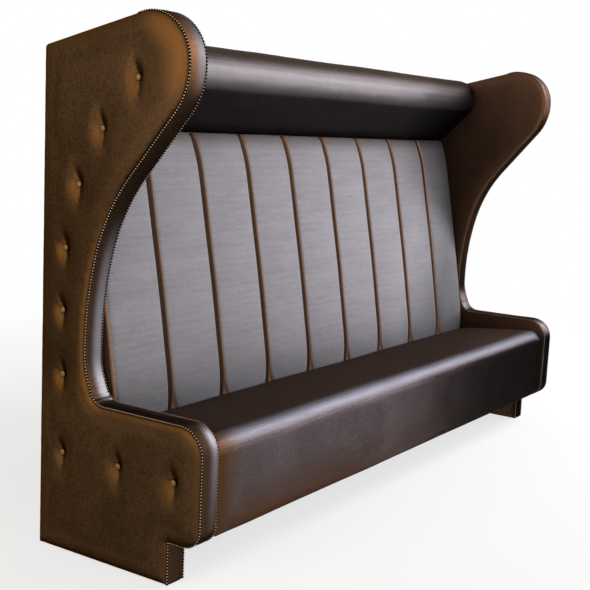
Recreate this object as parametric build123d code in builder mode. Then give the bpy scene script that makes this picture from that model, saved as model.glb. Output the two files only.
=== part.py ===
"""Restaurant booth bench: winged side panels, boxed seat, channelled back and head roll.

Millimetres. X runs along the bench, the sitter looks towards -Y, +Z is up.
The origin is on the floor at the middle of the bench's outline.
Most places are given as a reach, a distance forward from the wall plane, and a
height. `yz` turns the two into a point of a sketch on a plane across the bench.
"""

from math import atan2, cos, radians, sin, tan
import os

from build123d import *

# Side panels
SEAM_LENGTH = 2660.0  # outer seam to outer seam, along the bench
PANEL_T = 74.0  # side panel between its two seams
FACE_PUFF = 8.0  # how far each face pad stands out beyond its seam
FACE_PUFF_R = 7.0  # rounding of a face pad's edge
COVER_T = 12.0  # foam and cover over the core board
REAR_H = 1567.0  # side panel at the wall
TOP_RISE = 13.3  # degrees, the top edge climbs towards the wing
WING_REACH = 561.5  # the wing's nose
THROAT_REACH = 259.0  # foot of the wing's sloping underside
WAIST_REACH = 184.5  # narrowest place of the panel
VALLEY_REACH = 226.0  # where the waist's sweep meets the arm's top
ARM_TOP_Z = 493.5
ARM_REACH = 653.0  # seam at the arm's front
ARM_UNDER_Z = 136.0  # underside of the arm in front of the foot
FOOT_SETBACK = 117.0  # the foot's front behind the arm's
# heights of the outline's corners, from the arm's top to the top at the wall
NECK_RISE_SHARE = 0.8790
THROAT_RISE_SHARE = 0.5526
WAIST_RISE_SHARE = 0.2960
VALLEY_RISE_SHARE = 0.0990
REAR_TOP_R = 11.0
NOSE_R = 145.0
NECK_R = 250.0
THROAT_R = 630.0
LEAN_R = 1150.0
VALLEY_UPPER_R = 220.0
VALLEY_LOWER_R = 60.0
ARM_FRONT_R = 83.0
ARM_UNDER_R = 60.0
SIDE_USED_SHARE = 0.999  # of a straight side, at most, is taken by its two roundings
BAND_CROWN = 11.0  # how far the front band bulges on the arm's front
EDGE_BAND_CROWN = 4.0
BAND_START_REACH = 365.0  # the front band starts here, on top of the wing
# share of the way along the seam line, and share of the full crown there: flat over
# the wing and the waist, full on the arm's front, flat again under the arm
BAND_CROWN_SHARES = [
    (0.0, EDGE_BAND_CROWN / BAND_CROWN),
    (0.06, 0.32),
    (0.15, 0.32),
    (0.50, 0.32),
    (0.62, 0.42),
    (0.72, 0.60),
    (0.80, 0.94),
    (0.85, 1.00),
    (0.90, 0.90),
    (0.94, 0.45),
    (0.97, 0.16),
    (1.0, 0.14),
]

# Covered buttons in the outer faces
BUTTON_R = 10.5
BUTTON_RIM = 2.0
BUTTON_T = 6.0
DIMPLE_FLOOR_R = 11.5
DIMPLE_MOUTH_R = 22.0
DIMPLE_DEPTH = 7.0
# shares of the arm's reach and of the rear height
BUTTON_PLACE_SHARES = [
    (0.578, 0.942),
    (0.374, 0.847),
    (0.234, 0.740),
    (0.154, 0.615),
    (0.142, 0.492),
    (0.147, 0.364),
    (0.153, 0.205),
    (0.511, 0.207),
    (0.845, 0.205),
]

# Floor glides
GLIDE_T = 3.0
GLIDE_R = 14.0
GLIDE_PIN_R = 3.0
GLIDE_PIN_L = 16.0
GLIDE_PIN_CLEAR = 0.1
GLIDE_INSET = 45.0  # from the wall plane and from the foot's front

# Seat
SEAT_CLEAR = 0.4  # cushion to its neighbours
SEAT_REAR_Z = 417.0  # top of the cushion at the back
SEAT_PITCH = 5.7  # degrees, the top climbs towards the front
SEAT_SETBACK = 8.0  # the seat's front behind the arm's
SEAT_UNDER_Z = 152.0
SEAT_NOSE_R = 58.0
SEAT_REAR_R = 10.0
SEAT_END_R = 9.0
SEAT_FOAM_T = 84.0
APRON_T = 22.0
APRON_EDGE_R = 8.0
DECK_T = 15.0
RAIL_T = 18.0
BOX_REAR_REACH = 160.0
BOX_UNDER_Z = 160.0
BEARER_COUNT = 4
BLOCK_LEG = 55.0
BLOCK_H = 60.0
DUST_T = 1.5

# Back
REAR_BOARD_T = 4.0
BACK_BOARD_T = 12.0
BACK_LOW_Z = 340.0  # lower end of the channel pads
BACK_LOW_REACH = 165.0  # front of the back board at its lower end
BACK_TOP_REACH = 22.0  # front of the back board at its top
TOP_BOARD_H = 245.0
TOP_BOARD_COVER = 16.0  # the roll's top over the top board's
RIB_COUNT = 4  # between the two end ribs
PAD_COUNT = 9
PAD_LOW_REACH = 227.0
PAD_CROWN = 9.0
PAD_SHOULDER_R = 13.0
PAD_END_SHOULDER_R = 30.0
PAD_SIDE_CLEAR = 0.4
GROOVE_W = 26.0
STRIP_RECESS = 5.5
# height above the pads' lower end as a share of the pads' height, the reach there as
# a share of the reach at the lower end, and how far a groove opens to either side as
# a share of its width, where the pads' corners are drawn in
PAD_SECTION_SHARES = [
    (0.0, 1.0, 0.45),
    (0.075, 1.0, 0.22),
    (0.133, 0.993, 0.0),
    (0.301, 0.884, 0.0),
    (0.469, 0.760, 0.0),
    (0.709, 0.560, 0.0),
    (0.811, 0.475, 0.0),
    (0.902, 0.386, 0.0),
    (0.954, 0.308, 0.02),
    (0.982, 0.260, 0.05),
    (0.993, 0.232, 0.10),
    (1.0, 0.205, 0.16),
]
SHOULDER_DEPTH_SHARE = 0.6  # a shoulder rounds at most this much of a pad's depth
CROWN_FADE_SHARE = 0.125  # a pad thinner than this share of its low reach loses crown

# Head roll
ROLL_REACH = 216.0
ROLL_OVER_PANEL = 14.0  # the roll's top over the side panel's, at the wall
ROLL_TOP_RISE = 14.0  # degrees
ROLL_KNEE_REACH = 66.0
# heights over the top end of the channel pads
ROLL_LOW_RISE = 1.0  # underside where it leaves the top board
ROLL_KNEE_RISE = 25.0
ROLL_CHIN_RISE = 167.0
ROLL_TOP_R = 88.0
ROLL_CHIN_R = 76.0
ROLL_KNEE_R = 150.0
ROLL_END_R = 6.0
ROLL_CLEAR = 0.4

# Bolts and threaded inserts
BOLT_R = 4.0
BOLT_CLEAR = 0.25
BOLT_IN_CORE = 26.0
BOLT_HEAD_R = 8.0
BOLT_HEAD_T = 5.0
BOLT_SOCKET_W = 5.0  # across flats
BOLT_SOCKET_DEPTH = 3.0
INSERT_R = 6.5
INSERT_L = 20.0
INSERT_CLEAR = 0.1
CORE_BORE_SPARE = 4.0  # the core's bore runs this far past the bolt's tip
SEAT_BOLT_INSET = 100.0  # from the box's rear and from the seat's front
SEAT_BOLT_Z = 262.0
# reach and height of each bolt
BACK_BOLTS = [(80.0, 240.0), (60.0, 560.0), (40.0, 820.0)]

# Derived sizes
WALL_Y = (ARM_REACH + BAND_CROWN) / 2
FOOT_REACH = ARM_REACH - FOOT_SETBACK
SEAT_REACH = ARM_REACH - SEAT_SETBACK
ROLL_TOP_Z = REAR_H + ROLL_OVER_PANEL
TOP_BOARD_TOP_Z = ROLL_TOP_Z - TOP_BOARD_COVER
BACK_TOP_Z = TOP_BOARD_TOP_Z - TOP_BOARD_H
SEAM_X = SEAM_LENGTH / 2
FACE_X = SEAM_X + FACE_PUFF  # outer face of a side panel
INNER_X = SEAM_X - PANEL_T - FACE_PUFF  # inner face of a side panel
CORE_OUT_X = SEAM_X - COVER_T
CORE_IN_X = SEAM_X - PANEL_T + COVER_T
FLOOR_Z = GLIDE_T  # underside of the side panels
PAD_HEIGHT = BACK_TOP_Z - BACK_LOW_Z
PAD_PITCH = 2 * INNER_X / PAD_COUNT
BACK_SLOPE = (BACK_LOW_REACH - BACK_TOP_REACH) / PAD_HEIGHT
BOARD_LEVEL_T = BACK_BOARD_T / cos(atan2(BACK_SLOPE, 1))
CUSHION_REAR_REACH = PAD_LOW_REACH + PAD_CROWN + SEAT_CLEAR
DECK_FRONT_REACH = SEAT_REACH - APRON_T
RAIL_REACH = DECK_FRONT_REACH - RAIL_T  # rear face of the front rail
BEARER_REAR_REACH = BOX_REAR_REACH + RAIL_T  # front face of the rear rail
TAN_TOP = tan(radians(TOP_RISE))
TAN_PITCH = tan(radians(SEAT_PITCH))
SEAT_BOLTS = [
    (BOX_REAR_REACH + SEAT_BOLT_INSET, SEAT_BOLT_Z),
    (SEAT_REACH - SEAT_BOLT_INSET, SEAT_BOLT_Z),
]

os.makedirs("parts", exist_ok=True)


def yz(reach, z):
    """Point, on a plane across the bench, `reach` forward of the wall at height z."""
    return (WALL_Y - reach, z)


def board_reach(z):
    """Reach of the back board's front face at height z."""
    return BACK_LOW_REACH - (z - BACK_LOW_Z) * BACK_SLOPE


def cushion_top(reach):
    """Height of the seat's top line before its nose rounds over."""
    return SEAT_REAR_Z + (reach - PAD_LOW_REACH) * TAN_PITCH


def deck_top(reach):
    """Height of the deck's top, under the foam."""
    return cushion_top(reach) - SEAT_FOAM_T


def deck_under(reach):
    """Height of the deck's underside."""
    return deck_top(reach) - DECK_T


def finish(piece, name):
    """Label a finished piece and write its file."""
    piece.part.label = name
    export_step(piece.part, f"parts/{name}.step")


def both_sides(piece, name):
    """Write a right-hand piece and its mirror image for the left."""
    finish(piece, f"right_{name}")
    with BuildPart() as left:
        add(piece.part)
        mirror(about=Plane.YZ, mode=Mode.REPLACE)
    finish(left, f"left_{name}")


def slab(corners, low_x, high_x):
    """Board with the given side view, from low_x to high_x along the bench."""
    with BuildPart() as piece:
        with BuildSketch(Plane.YZ.offset(low_x)):
            with BuildLine():
                Polyline(*corners, close=True)
            make_face()
        extrude(amount=high_x - low_x)
    return piece


def across(places, x):
    """Locations at the given reaches and heights, with their Z along the bench."""
    return [
        Plane((x, *yz(reach, z)), x_dir=(0, 1, 0), z_dir=(1, 0, 0)).location
        for reach, z in places
    ]


def eased_radii(points, radii):
    """Corner roundings of a closed outline, drawn in where two would run into
    each other on the side that they share."""
    corners = [Vector(*point) for point in points]
    sides = [corner - corners[i - 1] for i, corner in enumerate(corners)]
    turns = [
        tan(radians(side.get_angle(sides[(i + 1) % len(sides)])) / 2)
        for i, side in enumerate(sides)
    ]
    used = [radius * turn for radius, turn in zip(radii, turns)]
    room = []
    for i, side in enumerate(sides):
        taken = used[i - 1] + used[i]
        most = side.length * SIDE_USED_SHARE
        room.append(most / taken if taken > most else 1)
    return [
        radius * min(room[i], room[(i + 1) % len(room)])
        for i, radius in enumerate(radii)
    ]


# Side panel outline, seen from the side
def outline_corners(rear, floor, rear_radius):
    """Corner points of the seam line and the rounding of each."""
    rise = REAR_H - ARM_TOP_Z
    corners = [
        (rear, floor, 0),
        (rear, REAR_H + rear * TAN_TOP, rear_radius),
        (WING_REACH, REAR_H + WING_REACH * TAN_TOP, NOSE_R),
        (WING_REACH, ARM_TOP_Z + rise * NECK_RISE_SHARE, NECK_R),
        (THROAT_REACH, ARM_TOP_Z + rise * THROAT_RISE_SHARE, THROAT_R),
        (WAIST_REACH, ARM_TOP_Z + rise * WAIST_RISE_SHARE, LEAN_R),
        (WAIST_REACH, ARM_TOP_Z + rise * VALLEY_RISE_SHARE, VALLEY_UPPER_R),
        (VALLEY_REACH, ARM_TOP_Z, VALLEY_LOWER_R),
        (ARM_REACH, ARM_TOP_Z, ARM_FRONT_R),
        (ARM_REACH, ARM_UNDER_Z, ARM_UNDER_R),
        (FOOT_REACH, ARM_UNDER_Z, 0),
        (FOOT_REACH, floor, 0),
    ]
    points = [yz(reach, z) for reach, z, _ in corners]
    return points, eased_radii(points, [radius for _, _, radius in corners])


seam_points, seam_radii = outline_corners(0, FLOOR_Z, REAR_TOP_R)
with BuildSketch() as seam_outline:
    with BuildLine():
        FilletPolyline(*seam_points, radius=seam_radii, close=True)
    make_face()

# The seam outline drawn in by the cover, but flush at the floor
core_points, core_radii = outline_corners(0, FLOOR_Z - COVER_T, 0)
with BuildSketch() as core_outline:
    with BuildLine():
        FilletPolyline(*core_points, radius=core_radii, close=True)
    make_face()
    offset(amount=-COVER_T, kind=Kind.INTERSECTION)

# Side panel core board, with bores for the inserts and the glide pins
GLIDE_REACHES = [GLIDE_INSET, FOOT_REACH - GLIDE_INSET]
GLIDE_X = SEAM_X - PANEL_T / 2
GLIDE_PLACES = [(GLIDE_X, WALL_Y - reach, FLOOR_Z) for reach in GLIDE_REACHES]
PANEL_BOLTS = SEAT_BOLTS + BACK_BOLTS

with BuildPart() as panel_core:
    with BuildSketch(Plane.YZ.offset(CORE_IN_X)):
        add(core_outline.sketch)
    extrude(amount=CORE_OUT_X - CORE_IN_X)
    with BuildSketch(Plane.YZ.offset(CORE_IN_X)):
        for reach, z in PANEL_BOLTS:
            with Locations(yz(reach, z)):
                Circle(INSERT_R + INSERT_CLEAR)
    extrude(amount=INSERT_L, mode=Mode.SUBTRACT)
    with BuildSketch(Plane.YZ.offset(CORE_IN_X)):
        for reach, z in PANEL_BOLTS:
            with Locations(yz(reach, z)):
                Circle(BOLT_R + BOLT_CLEAR)
    extrude(amount=BOLT_IN_CORE + CORE_BORE_SPARE, mode=Mode.SUBTRACT)
    with BuildSketch(Plane.XY.offset(FLOOR_Z)):
        with Locations(*[(x, y) for x, y, _ in GLIDE_PLACES]):
            Circle(GLIDE_PIN_R + GLIDE_PIN_CLEAR)
    extrude(amount=GLIDE_PIN_L + GLIDE_PIN_CLEAR, mode=Mode.SUBTRACT)
both_sides(panel_core, "panel_core")

# Dimple that a button is pulled into: a flat floor and a soft rolled mouth
ROLL_OVER = DIMPLE_MOUTH_R - DIMPLE_FLOOR_R
DIMPLE_ROLL_R = (ROLL_OVER**2 + DIMPLE_DEPTH**2) / (2 * DIMPLE_DEPTH)
with BuildPart() as dimple:
    with BuildSketch(Plane.XZ):
        with BuildLine():
            Polyline(
                (DIMPLE_MOUTH_R, 0),
                (0, 0),
                (0, -DIMPLE_DEPTH),
                (DIMPLE_FLOOR_R, -DIMPLE_DEPTH),
            )
            RadiusArc(
                (DIMPLE_FLOOR_R, -DIMPLE_DEPTH), (DIMPLE_MOUTH_R, 0), DIMPLE_ROLL_R
            )
        make_face()
    revolve(axis=Axis.Z)

BUTTON_PLACES = [
    (ARM_REACH * reach, REAR_H * z) for reach, z in BUTTON_PLACE_SHARES
]

# Outer face pad: a layer over the core inside the bands, then the puffed face
with BuildPart() as outer_face_pad:
    with BuildSketch(Plane.YZ.offset(CORE_OUT_X)):
        add(core_outline.sketch)
    extrude(amount=COVER_T)
    with BuildSketch(Plane.YZ.offset(SEAM_X)):
        add(seam_outline.sketch)
    extrude(amount=FACE_PUFF)
    rim = outer_face_pad.faces().sort_by(Axis.X)[-1].edges()
    fillet(rim.filter_by(lambda e: e.center().Z > FLOOR_Z), FACE_PUFF_R)
    with Locations(*across(BUTTON_PLACES, FACE_X)):
        add(dimple.part, mode=Mode.SUBTRACT)
both_sides(outer_face_pad, "outer_face_pad")

# Inner face pad: the same build towards the sitter, with the bolt holes
with BuildPart() as inner_face_pad:
    with BuildSketch(Plane.YZ.offset(SEAM_X - PANEL_T)):
        add(core_outline.sketch)
    extrude(amount=COVER_T)
    with BuildSketch(Plane.YZ.offset(INNER_X)):
        add(seam_outline.sketch)
    extrude(amount=FACE_PUFF)
    rim = inner_face_pad.faces().sort_by(Axis.X)[0].edges()
    fillet(rim.filter_by(lambda e: e.center().Z > FLOOR_Z), FACE_PUFF_R)
    with BuildSketch(Plane.YZ.offset(INNER_X)):
        for reach, z in PANEL_BOLTS:
            with Locations(yz(reach, z)):
                Circle(BOLT_R + BOLT_CLEAR)
    extrude(amount=FACE_PUFF + COVER_T, mode=Mode.SUBTRACT)
both_sides(inner_face_pad, "inner_face_pad")

# Front band: a strip swept along the seam line from the wing to the foot, whose
# crown swells from the wing down to the arm's front
MID_X = SEAM_X - PANEL_T / 2
band_start = yz(BAND_START_REACH, REAR_H + BAND_START_REACH * TAN_TOP)
with BuildPart() as front_band:
    with BuildLine(Plane.YZ.offset(MID_X)) as seam_line:
        FilletPolyline(band_start, *seam_points[2:11], radius=seam_radii[2:10])
    seam_wire = seam_line.wires()[0]
    for way_share, crown_share in BAND_CROWN_SHARES:
        with BuildSketch(
            Plane(
                seam_wire @ way_share, x_dir=(1, 0, 0), z_dir=seam_wire % way_share
            )
        ):
            with BuildLine():
                Polyline(
                    (PANEL_T / 2, 0),
                    (PANEL_T / 2, -COVER_T),
                    (-PANEL_T / 2, -COVER_T),
                    (-PANEL_T / 2, 0),
                )
                ThreePointArc(
                    (-PANEL_T / 2, 0),
                    (0, BAND_CROWN * crown_share),
                    (PANEL_T / 2, 0),
                )
            make_face()
    sweep(path=seam_wire, multisection=True)
both_sides(front_band, "front_band")

# Edge band: up the rear edge and along the top to the start of the front band
SLANT_T = COVER_T / cos(radians(TOP_RISE))
with BuildPart() as edge_band:
    with BuildSketch(Plane.YZ.offset(SEAM_X - PANEL_T)):
        with BuildLine():
            FilletPolyline(
                yz(0, FLOOR_Z),
                yz(0, REAR_H),
                band_start,
                yz(
                    BAND_START_REACH + COVER_T * sin(radians(TOP_RISE)),
                    REAR_H
                    + BAND_START_REACH * TAN_TOP
                    - COVER_T * cos(radians(TOP_RISE)),
                ),
                yz(COVER_T, REAR_H - SLANT_T + COVER_T * TAN_TOP),
                yz(COVER_T, FLOOR_Z),
                radius=[0, REAR_TOP_R, 0, 0, 0, 0],
                close=True,
            )
        make_face()
    extrude(amount=PANEL_T)
    with BuildLine(Plane.YZ.offset(MID_X)) as top_line:
        Line(yz(REAR_TOP_R, REAR_H + REAR_TOP_R * TAN_TOP), band_start)
    top_wire = top_line.wires()[0]
    with BuildSketch(Plane(top_wire @ 0, x_dir=(1, 0, 0), z_dir=top_wire % 0)):
        with BuildLine():
            Line((PANEL_T / 2, 0), (-PANEL_T / 2, 0))
            ThreePointArc(
                (-PANEL_T / 2, 0), (0, EDGE_BAND_CROWN), (PANEL_T / 2, 0)
            )
        make_face()
    sweep(path=top_wire)
both_sides(edge_band, "edge_band")

# Foot band: the strip on the front of the foot
foot_band = slab(
    [
        yz(FOOT_REACH, FLOOR_Z),
        yz(FOOT_REACH, ARM_UNDER_Z + COVER_T),
        yz(FOOT_REACH - COVER_T, ARM_UNDER_Z + COVER_T),
        yz(FOOT_REACH - COVER_T, FLOOR_Z),
    ],
    SEAM_X - PANEL_T,
    SEAM_X,
)
both_sides(foot_band, "foot_band")

# Covered buttons, one set for each outer face
with BuildPart() as button:
    with BuildSketch(Plane.XZ):
        with BuildLine():
            Polyline(
                (0, BUTTON_T), (0, 0), (BUTTON_R, 0), (BUTTON_R, BUTTON_RIM)
            )
            dome_r = (BUTTON_R**2 + (BUTTON_T - BUTTON_RIM) ** 2) / (
                2 * (BUTTON_T - BUTTON_RIM)
            )
            RadiusArc((BUTTON_R, BUTTON_RIM), (0, BUTTON_T), -dome_r)
        make_face()
    revolve(axis=Axis.Z)

with BuildPart() as buttons:
    with Locations(*across(BUTTON_PLACES, FACE_X - DIMPLE_DEPTH)):
        add(button.part)
both_sides(buttons, "panel_buttons")

# Floor glides, four in all, each with a pin up into its core board
with BuildPart() as floor_glides:
    for side in (-1, 1):
        with Locations(*[(side * x, y, 0) for x, y, _ in GLIDE_PLACES]):
            Cylinder(GLIDE_R, GLIDE_T, align=(Align.CENTER, Align.CENTER, Align.MIN))
            Cylinder(
                GLIDE_PIN_R,
                GLIDE_T + GLIDE_PIN_L,
                align=(Align.CENTER, Align.CENTER, Align.MIN),
            )
finish(floor_glides, "floor_glides")

# Seat cushion: foam block with a rolled nose that runs down into the apron
with BuildPart() as seat_cushion:
    with BuildSketch(Plane.YZ):
        with BuildLine():
            FilletPolyline(
                yz(CUSHION_REAR_REACH, cushion_top(CUSHION_REAR_REACH)),
                yz(SEAT_REACH, cushion_top(SEAT_REACH)),
                yz(SEAT_REACH, SEAT_UNDER_Z),
                yz(DECK_FRONT_REACH, SEAT_UNDER_Z),
                yz(DECK_FRONT_REACH, deck_top(DECK_FRONT_REACH)),
                yz(CUSHION_REAR_REACH, deck_top(CUSHION_REAR_REACH)),
                radius=[SEAT_REAR_R, SEAT_NOSE_R, APRON_EDGE_R, 0, 0, 0],
                close=True,
            )
        make_face()
    extrude(amount=INNER_X - SEAT_CLEAR, both=True)
    end_edges = seat_cushion.faces().filter_by(Axis.X).edges()
    fillet(
        end_edges.filter_by(
            lambda e: e.center().Z > cushion_top(CUSHION_REAR_REACH)
            or e.center().Y < WALL_Y - DECK_FRONT_REACH - APRON_EDGE_R
        ),
        SEAT_END_R,
    )
finish(seat_cushion, "seat_cushion")

# Seat deck and the box under it
seat_deck = slab(
    [
        yz(BOX_REAR_REACH, deck_under(BOX_REAR_REACH)),
        yz(BOX_REAR_REACH, deck_top(BOX_REAR_REACH)),
        yz(DECK_FRONT_REACH, deck_top(DECK_FRONT_REACH)),
        yz(DECK_FRONT_REACH, deck_under(DECK_FRONT_REACH)),
    ],
    -INNER_X,
    INNER_X,
)
finish(seat_deck, "seat_deck")


def under_deck(low_reach, high_reach):
    """Side view of a board that stands on the box's underside up to the deck."""
    return [
        yz(low_reach, BOX_UNDER_Z),
        yz(low_reach, deck_under(low_reach)),
        yz(high_reach, deck_under(high_reach)),
        yz(high_reach, BOX_UNDER_Z),
    ]


seat_front_rail = slab(under_deck(RAIL_REACH, DECK_FRONT_REACH), -INNER_X, INNER_X)
finish(seat_front_rail, "seat_front_rail")
seat_rear_rail = slab(
    under_deck(BOX_REAR_REACH, BEARER_REAR_REACH), -INNER_X, INNER_X
)
finish(seat_rear_rail, "seat_rear_rail")

BEARER_STEP = 2 * (INNER_X - RAIL_T / 2) / (BEARER_COUNT + 1)
bearer_side = under_deck(BEARER_REAR_REACH, RAIL_REACH)
with BuildPart() as seat_bearers:
    for i in range(1, BEARER_COUNT + 1):
        low_x = -INNER_X + i * BEARER_STEP
        with BuildSketch(Plane.YZ.offset(low_x)):
            with BuildLine():
                Polyline(*bearer_side, close=True)
            make_face()
        extrude(amount=RAIL_T)
finish(seat_bearers, "seat_cross_bearers")


with BuildPart() as seat_end_board:
    with BuildSketch(Plane.YZ.offset(INNER_X - RAIL_T)):
        with BuildLine():
            Polyline(*bearer_side, close=True)
        make_face()
    extrude(amount=RAIL_T)
    with BuildSketch(Plane.YZ.offset(INNER_X - RAIL_T)):
        for reach, z in SEAT_BOLTS:
            with Locations(yz(reach, z)):
                Circle(BOLT_R + BOLT_CLEAR)
    extrude(amount=RAIL_T, mode=Mode.SUBTRACT)
both_sides(seat_end_board, "seat_end_board")

# Triangular glue blocks in the four corners of the seat box
BLOCK_X = INNER_X - RAIL_T
with BuildPart() as seat_corner_blocks:
    with BuildSketch(Plane.XY.offset(BOX_UNDER_Z)):
        for corner_y, inward in (
            (WALL_Y - RAIL_REACH, 1),
            (WALL_Y - BEARER_REAR_REACH, -1),
        ):
            for side in (-1, 1):
                with BuildLine():
                    Polyline(
                        (side * BLOCK_X, corner_y),
                        (side * (BLOCK_X - BLOCK_LEG), corner_y),
                        (side * BLOCK_X, corner_y + inward * BLOCK_LEG),
                        close=True,
                    )
                make_face()
    extrude(amount=BLOCK_H)
finish(seat_corner_blocks, "seat_corner_blocks")

dust_cover = slab(
    [
        yz(0, BOX_UNDER_Z - DUST_T),
        yz(0, BOX_UNDER_Z),
        yz(DECK_FRONT_REACH, BOX_UNDER_Z),
        yz(DECK_FRONT_REACH, BOX_UNDER_Z - DUST_T),
    ],
    -INNER_X,
    INNER_X,
)
finish(dust_cover, "seat_dust_cover")

# Back board, leaning between the seat and the top board
back_board = slab(
    [
        yz(BACK_LOW_REACH, BACK_LOW_Z),
        yz(BACK_TOP_REACH, BACK_TOP_Z),
        yz(BACK_TOP_REACH - BOARD_LEVEL_T, BACK_TOP_Z),
        yz(BACK_LOW_REACH - BOARD_LEVEL_T, BACK_LOW_Z),
    ],
    -INNER_X,
    INNER_X,
)
finish(back_board, "back_board")

rear_board = slab(
    [
        yz(0, BOX_UNDER_Z),
        yz(REAR_BOARD_T, BOX_UNDER_Z),
        yz(REAR_BOARD_T, TOP_BOARD_TOP_Z),
        yz(0, TOP_BOARD_TOP_Z),
    ],
    -INNER_X,
    INNER_X,
)
finish(rear_board, "rear_board")

back_top_board = slab(
    [
        yz(REAR_BOARD_T, BACK_TOP_Z),
        yz(BACK_TOP_REACH, BACK_TOP_Z),
        yz(BACK_TOP_REACH, TOP_BOARD_TOP_Z),
        yz(REAR_BOARD_T, TOP_BOARD_TOP_Z),
    ],
    -INNER_X,
    INNER_X,
)
finish(back_top_board, "back_top_board")

# Tapered ribs between the rear board and the back board
rib_side = [
    yz(REAR_BOARD_T, BOX_UNDER_Z),
    yz(BOX_REAR_REACH, BOX_UNDER_Z),
    yz(BOX_REAR_REACH, deck_top(BOX_REAR_REACH)),
    yz(BACK_LOW_REACH - BOARD_LEVEL_T, BACK_LOW_Z),
    yz(BACK_TOP_REACH - BOARD_LEVEL_T, BACK_TOP_Z),
    yz(REAR_BOARD_T, BACK_TOP_Z),
]
RIB_STEP = 2 * (INNER_X - RAIL_T / 2) / (RIB_COUNT + 1)
with BuildPart() as back_ribs:
    for i in range(1, RIB_COUNT + 1):
        low_x = -INNER_X + i * RIB_STEP
        with BuildSketch(Plane.YZ.offset(low_x)):
            with BuildLine():
                Polyline(*rib_side, close=True)
            make_face()
        extrude(amount=RAIL_T)
finish(back_ribs, "back_ribs")

with BuildPart() as back_end_rib:
    with BuildSketch(Plane.YZ.offset(INNER_X - RAIL_T)):
        with BuildLine():
            Polyline(*rib_side, close=True)
        make_face()
    extrude(amount=RAIL_T)
    with BuildSketch(Plane.YZ.offset(INNER_X - RAIL_T)):
        for reach, z in BACK_BOLTS:
            with Locations(yz(reach, z)):
                Circle(BOLT_R + BOLT_CLEAR)
    extrude(amount=RAIL_T, mode=Mode.SUBTRACT)
both_sides(back_end_rib, "back_end_rib")


# Channel pads and the strips between them, lofted up the leaning back
def pad_levels():
    """Height, back board reach, shoulder reach and side draw of each section."""
    for height_share, reach_share, draw_share in PAD_SECTION_SHARES:
        z = BACK_LOW_Z + height_share * PAD_HEIGHT
        yield z, board_reach(z), PAD_LOW_REACH * reach_share, GROOVE_W * draw_share


def groove_x(i):
    """Middle of the i-th groove, or the side panel's face at either end."""
    return -INNER_X + i * PAD_PITCH


def pad_sides(i, draw):
    """Both sides of the i-th pad along the bench; only a groove draws them in."""
    at_groove = GROOVE_W / 2 + draw
    low = PAD_SIDE_CLEAR if i == 0 else at_groove
    high = PAD_SIDE_CLEAR if i == PAD_COUNT - 1 else at_groove
    return groove_x(i) + low, groove_x(i + 1) - high


def channel_pad(i):
    """One upright pad with a crowned front and rounded shoulders."""
    low_r = PAD_END_SHOULDER_R if i == 0 else PAD_SHOULDER_R
    high_r = PAD_END_SHOULDER_R if i == PAD_COUNT - 1 else PAD_SHOULDER_R
    with BuildPart() as piece:
        for z, board, front, draw in pad_levels():
            low_x, high_x = pad_sides(i, draw)
            most_r = (front - board) * SHOULDER_DEPTH_SHARE
            fade_t = PAD_LOW_REACH * CROWN_FADE_SHARE
            crown = PAD_CROWN * min(1, (front - board) / fade_t)
            with BuildSketch(Plane.XY.offset(z)) as section:
                with BuildLine():
                    ThreePointArc(
                        (low_x, WALL_Y - front),
                        ((low_x + high_x) / 2, WALL_Y - front - crown),
                        (high_x, WALL_Y - front),
                    )
                    Polyline(
                        (high_x, WALL_Y - front),
                        (high_x, WALL_Y - board),
                        (low_x, WALL_Y - board),
                        (low_x, WALL_Y - front),
                    )
                make_face()
                front_corners = section.vertices().group_by(Axis.Y)[0].sort_by(Axis.X)
                fillet(front_corners[0], min(low_r, most_r))
                right_corner = section.vertices().sort_by(Axis.X).group_by(
                    Axis.X
                )[-1].sort_by(Axis.Y)[0]
                fillet(right_corner, min(high_r, most_r))
        loft()
    return piece


for i in range(PAD_COUNT):
    finish(channel_pad(i), f"back_channel_{i + 1}")

for i in range(1, PAD_COUNT):
    with BuildPart() as strip:
        for z, board, front, draw in pad_levels():
            half = GROOVE_W / 2 + draw - PAD_SIDE_CLEAR
            with BuildSketch(Plane.XY.offset(z)):
                with BuildLine():
                    Polyline(
                        (groove_x(i) - half, WALL_Y - front + STRIP_RECESS),
                        (groove_x(i) + half, WALL_Y - front + STRIP_RECESS),
                        (groove_x(i) + half, WALL_Y - board),
                        (groove_x(i) - half, WALL_Y - board),
                        close=True,
                    )
                make_face()
        loft()
    finish(strip, f"back_strip_{i}")

# Head roll: rounded nose over the top board, underside sloping back to the pads
TAN_ROLL = tan(radians(ROLL_TOP_RISE))
with BuildPart() as head_roll:
    with BuildSketch(Plane.YZ):
        with BuildLine():
            FilletPolyline(
                yz(0, TOP_BOARD_TOP_Z),
                yz(0, ROLL_TOP_Z),
                yz(ROLL_REACH, ROLL_TOP_Z + ROLL_REACH * TAN_ROLL),
                yz(ROLL_REACH, BACK_TOP_Z + ROLL_CHIN_RISE),
                yz(ROLL_KNEE_REACH, BACK_TOP_Z + ROLL_KNEE_RISE),
                yz(BACK_TOP_REACH, BACK_TOP_Z + ROLL_LOW_RISE),
                yz(BACK_TOP_REACH, TOP_BOARD_TOP_Z),
                radius=[0, ROLL_END_R, ROLL_TOP_R, ROLL_CHIN_R, ROLL_KNEE_R, 0, 0],
                close=True,
            )
        make_face()
    extrude(amount=INNER_X - ROLL_CLEAR, both=True)
finish(head_roll, "head_roll")

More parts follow.
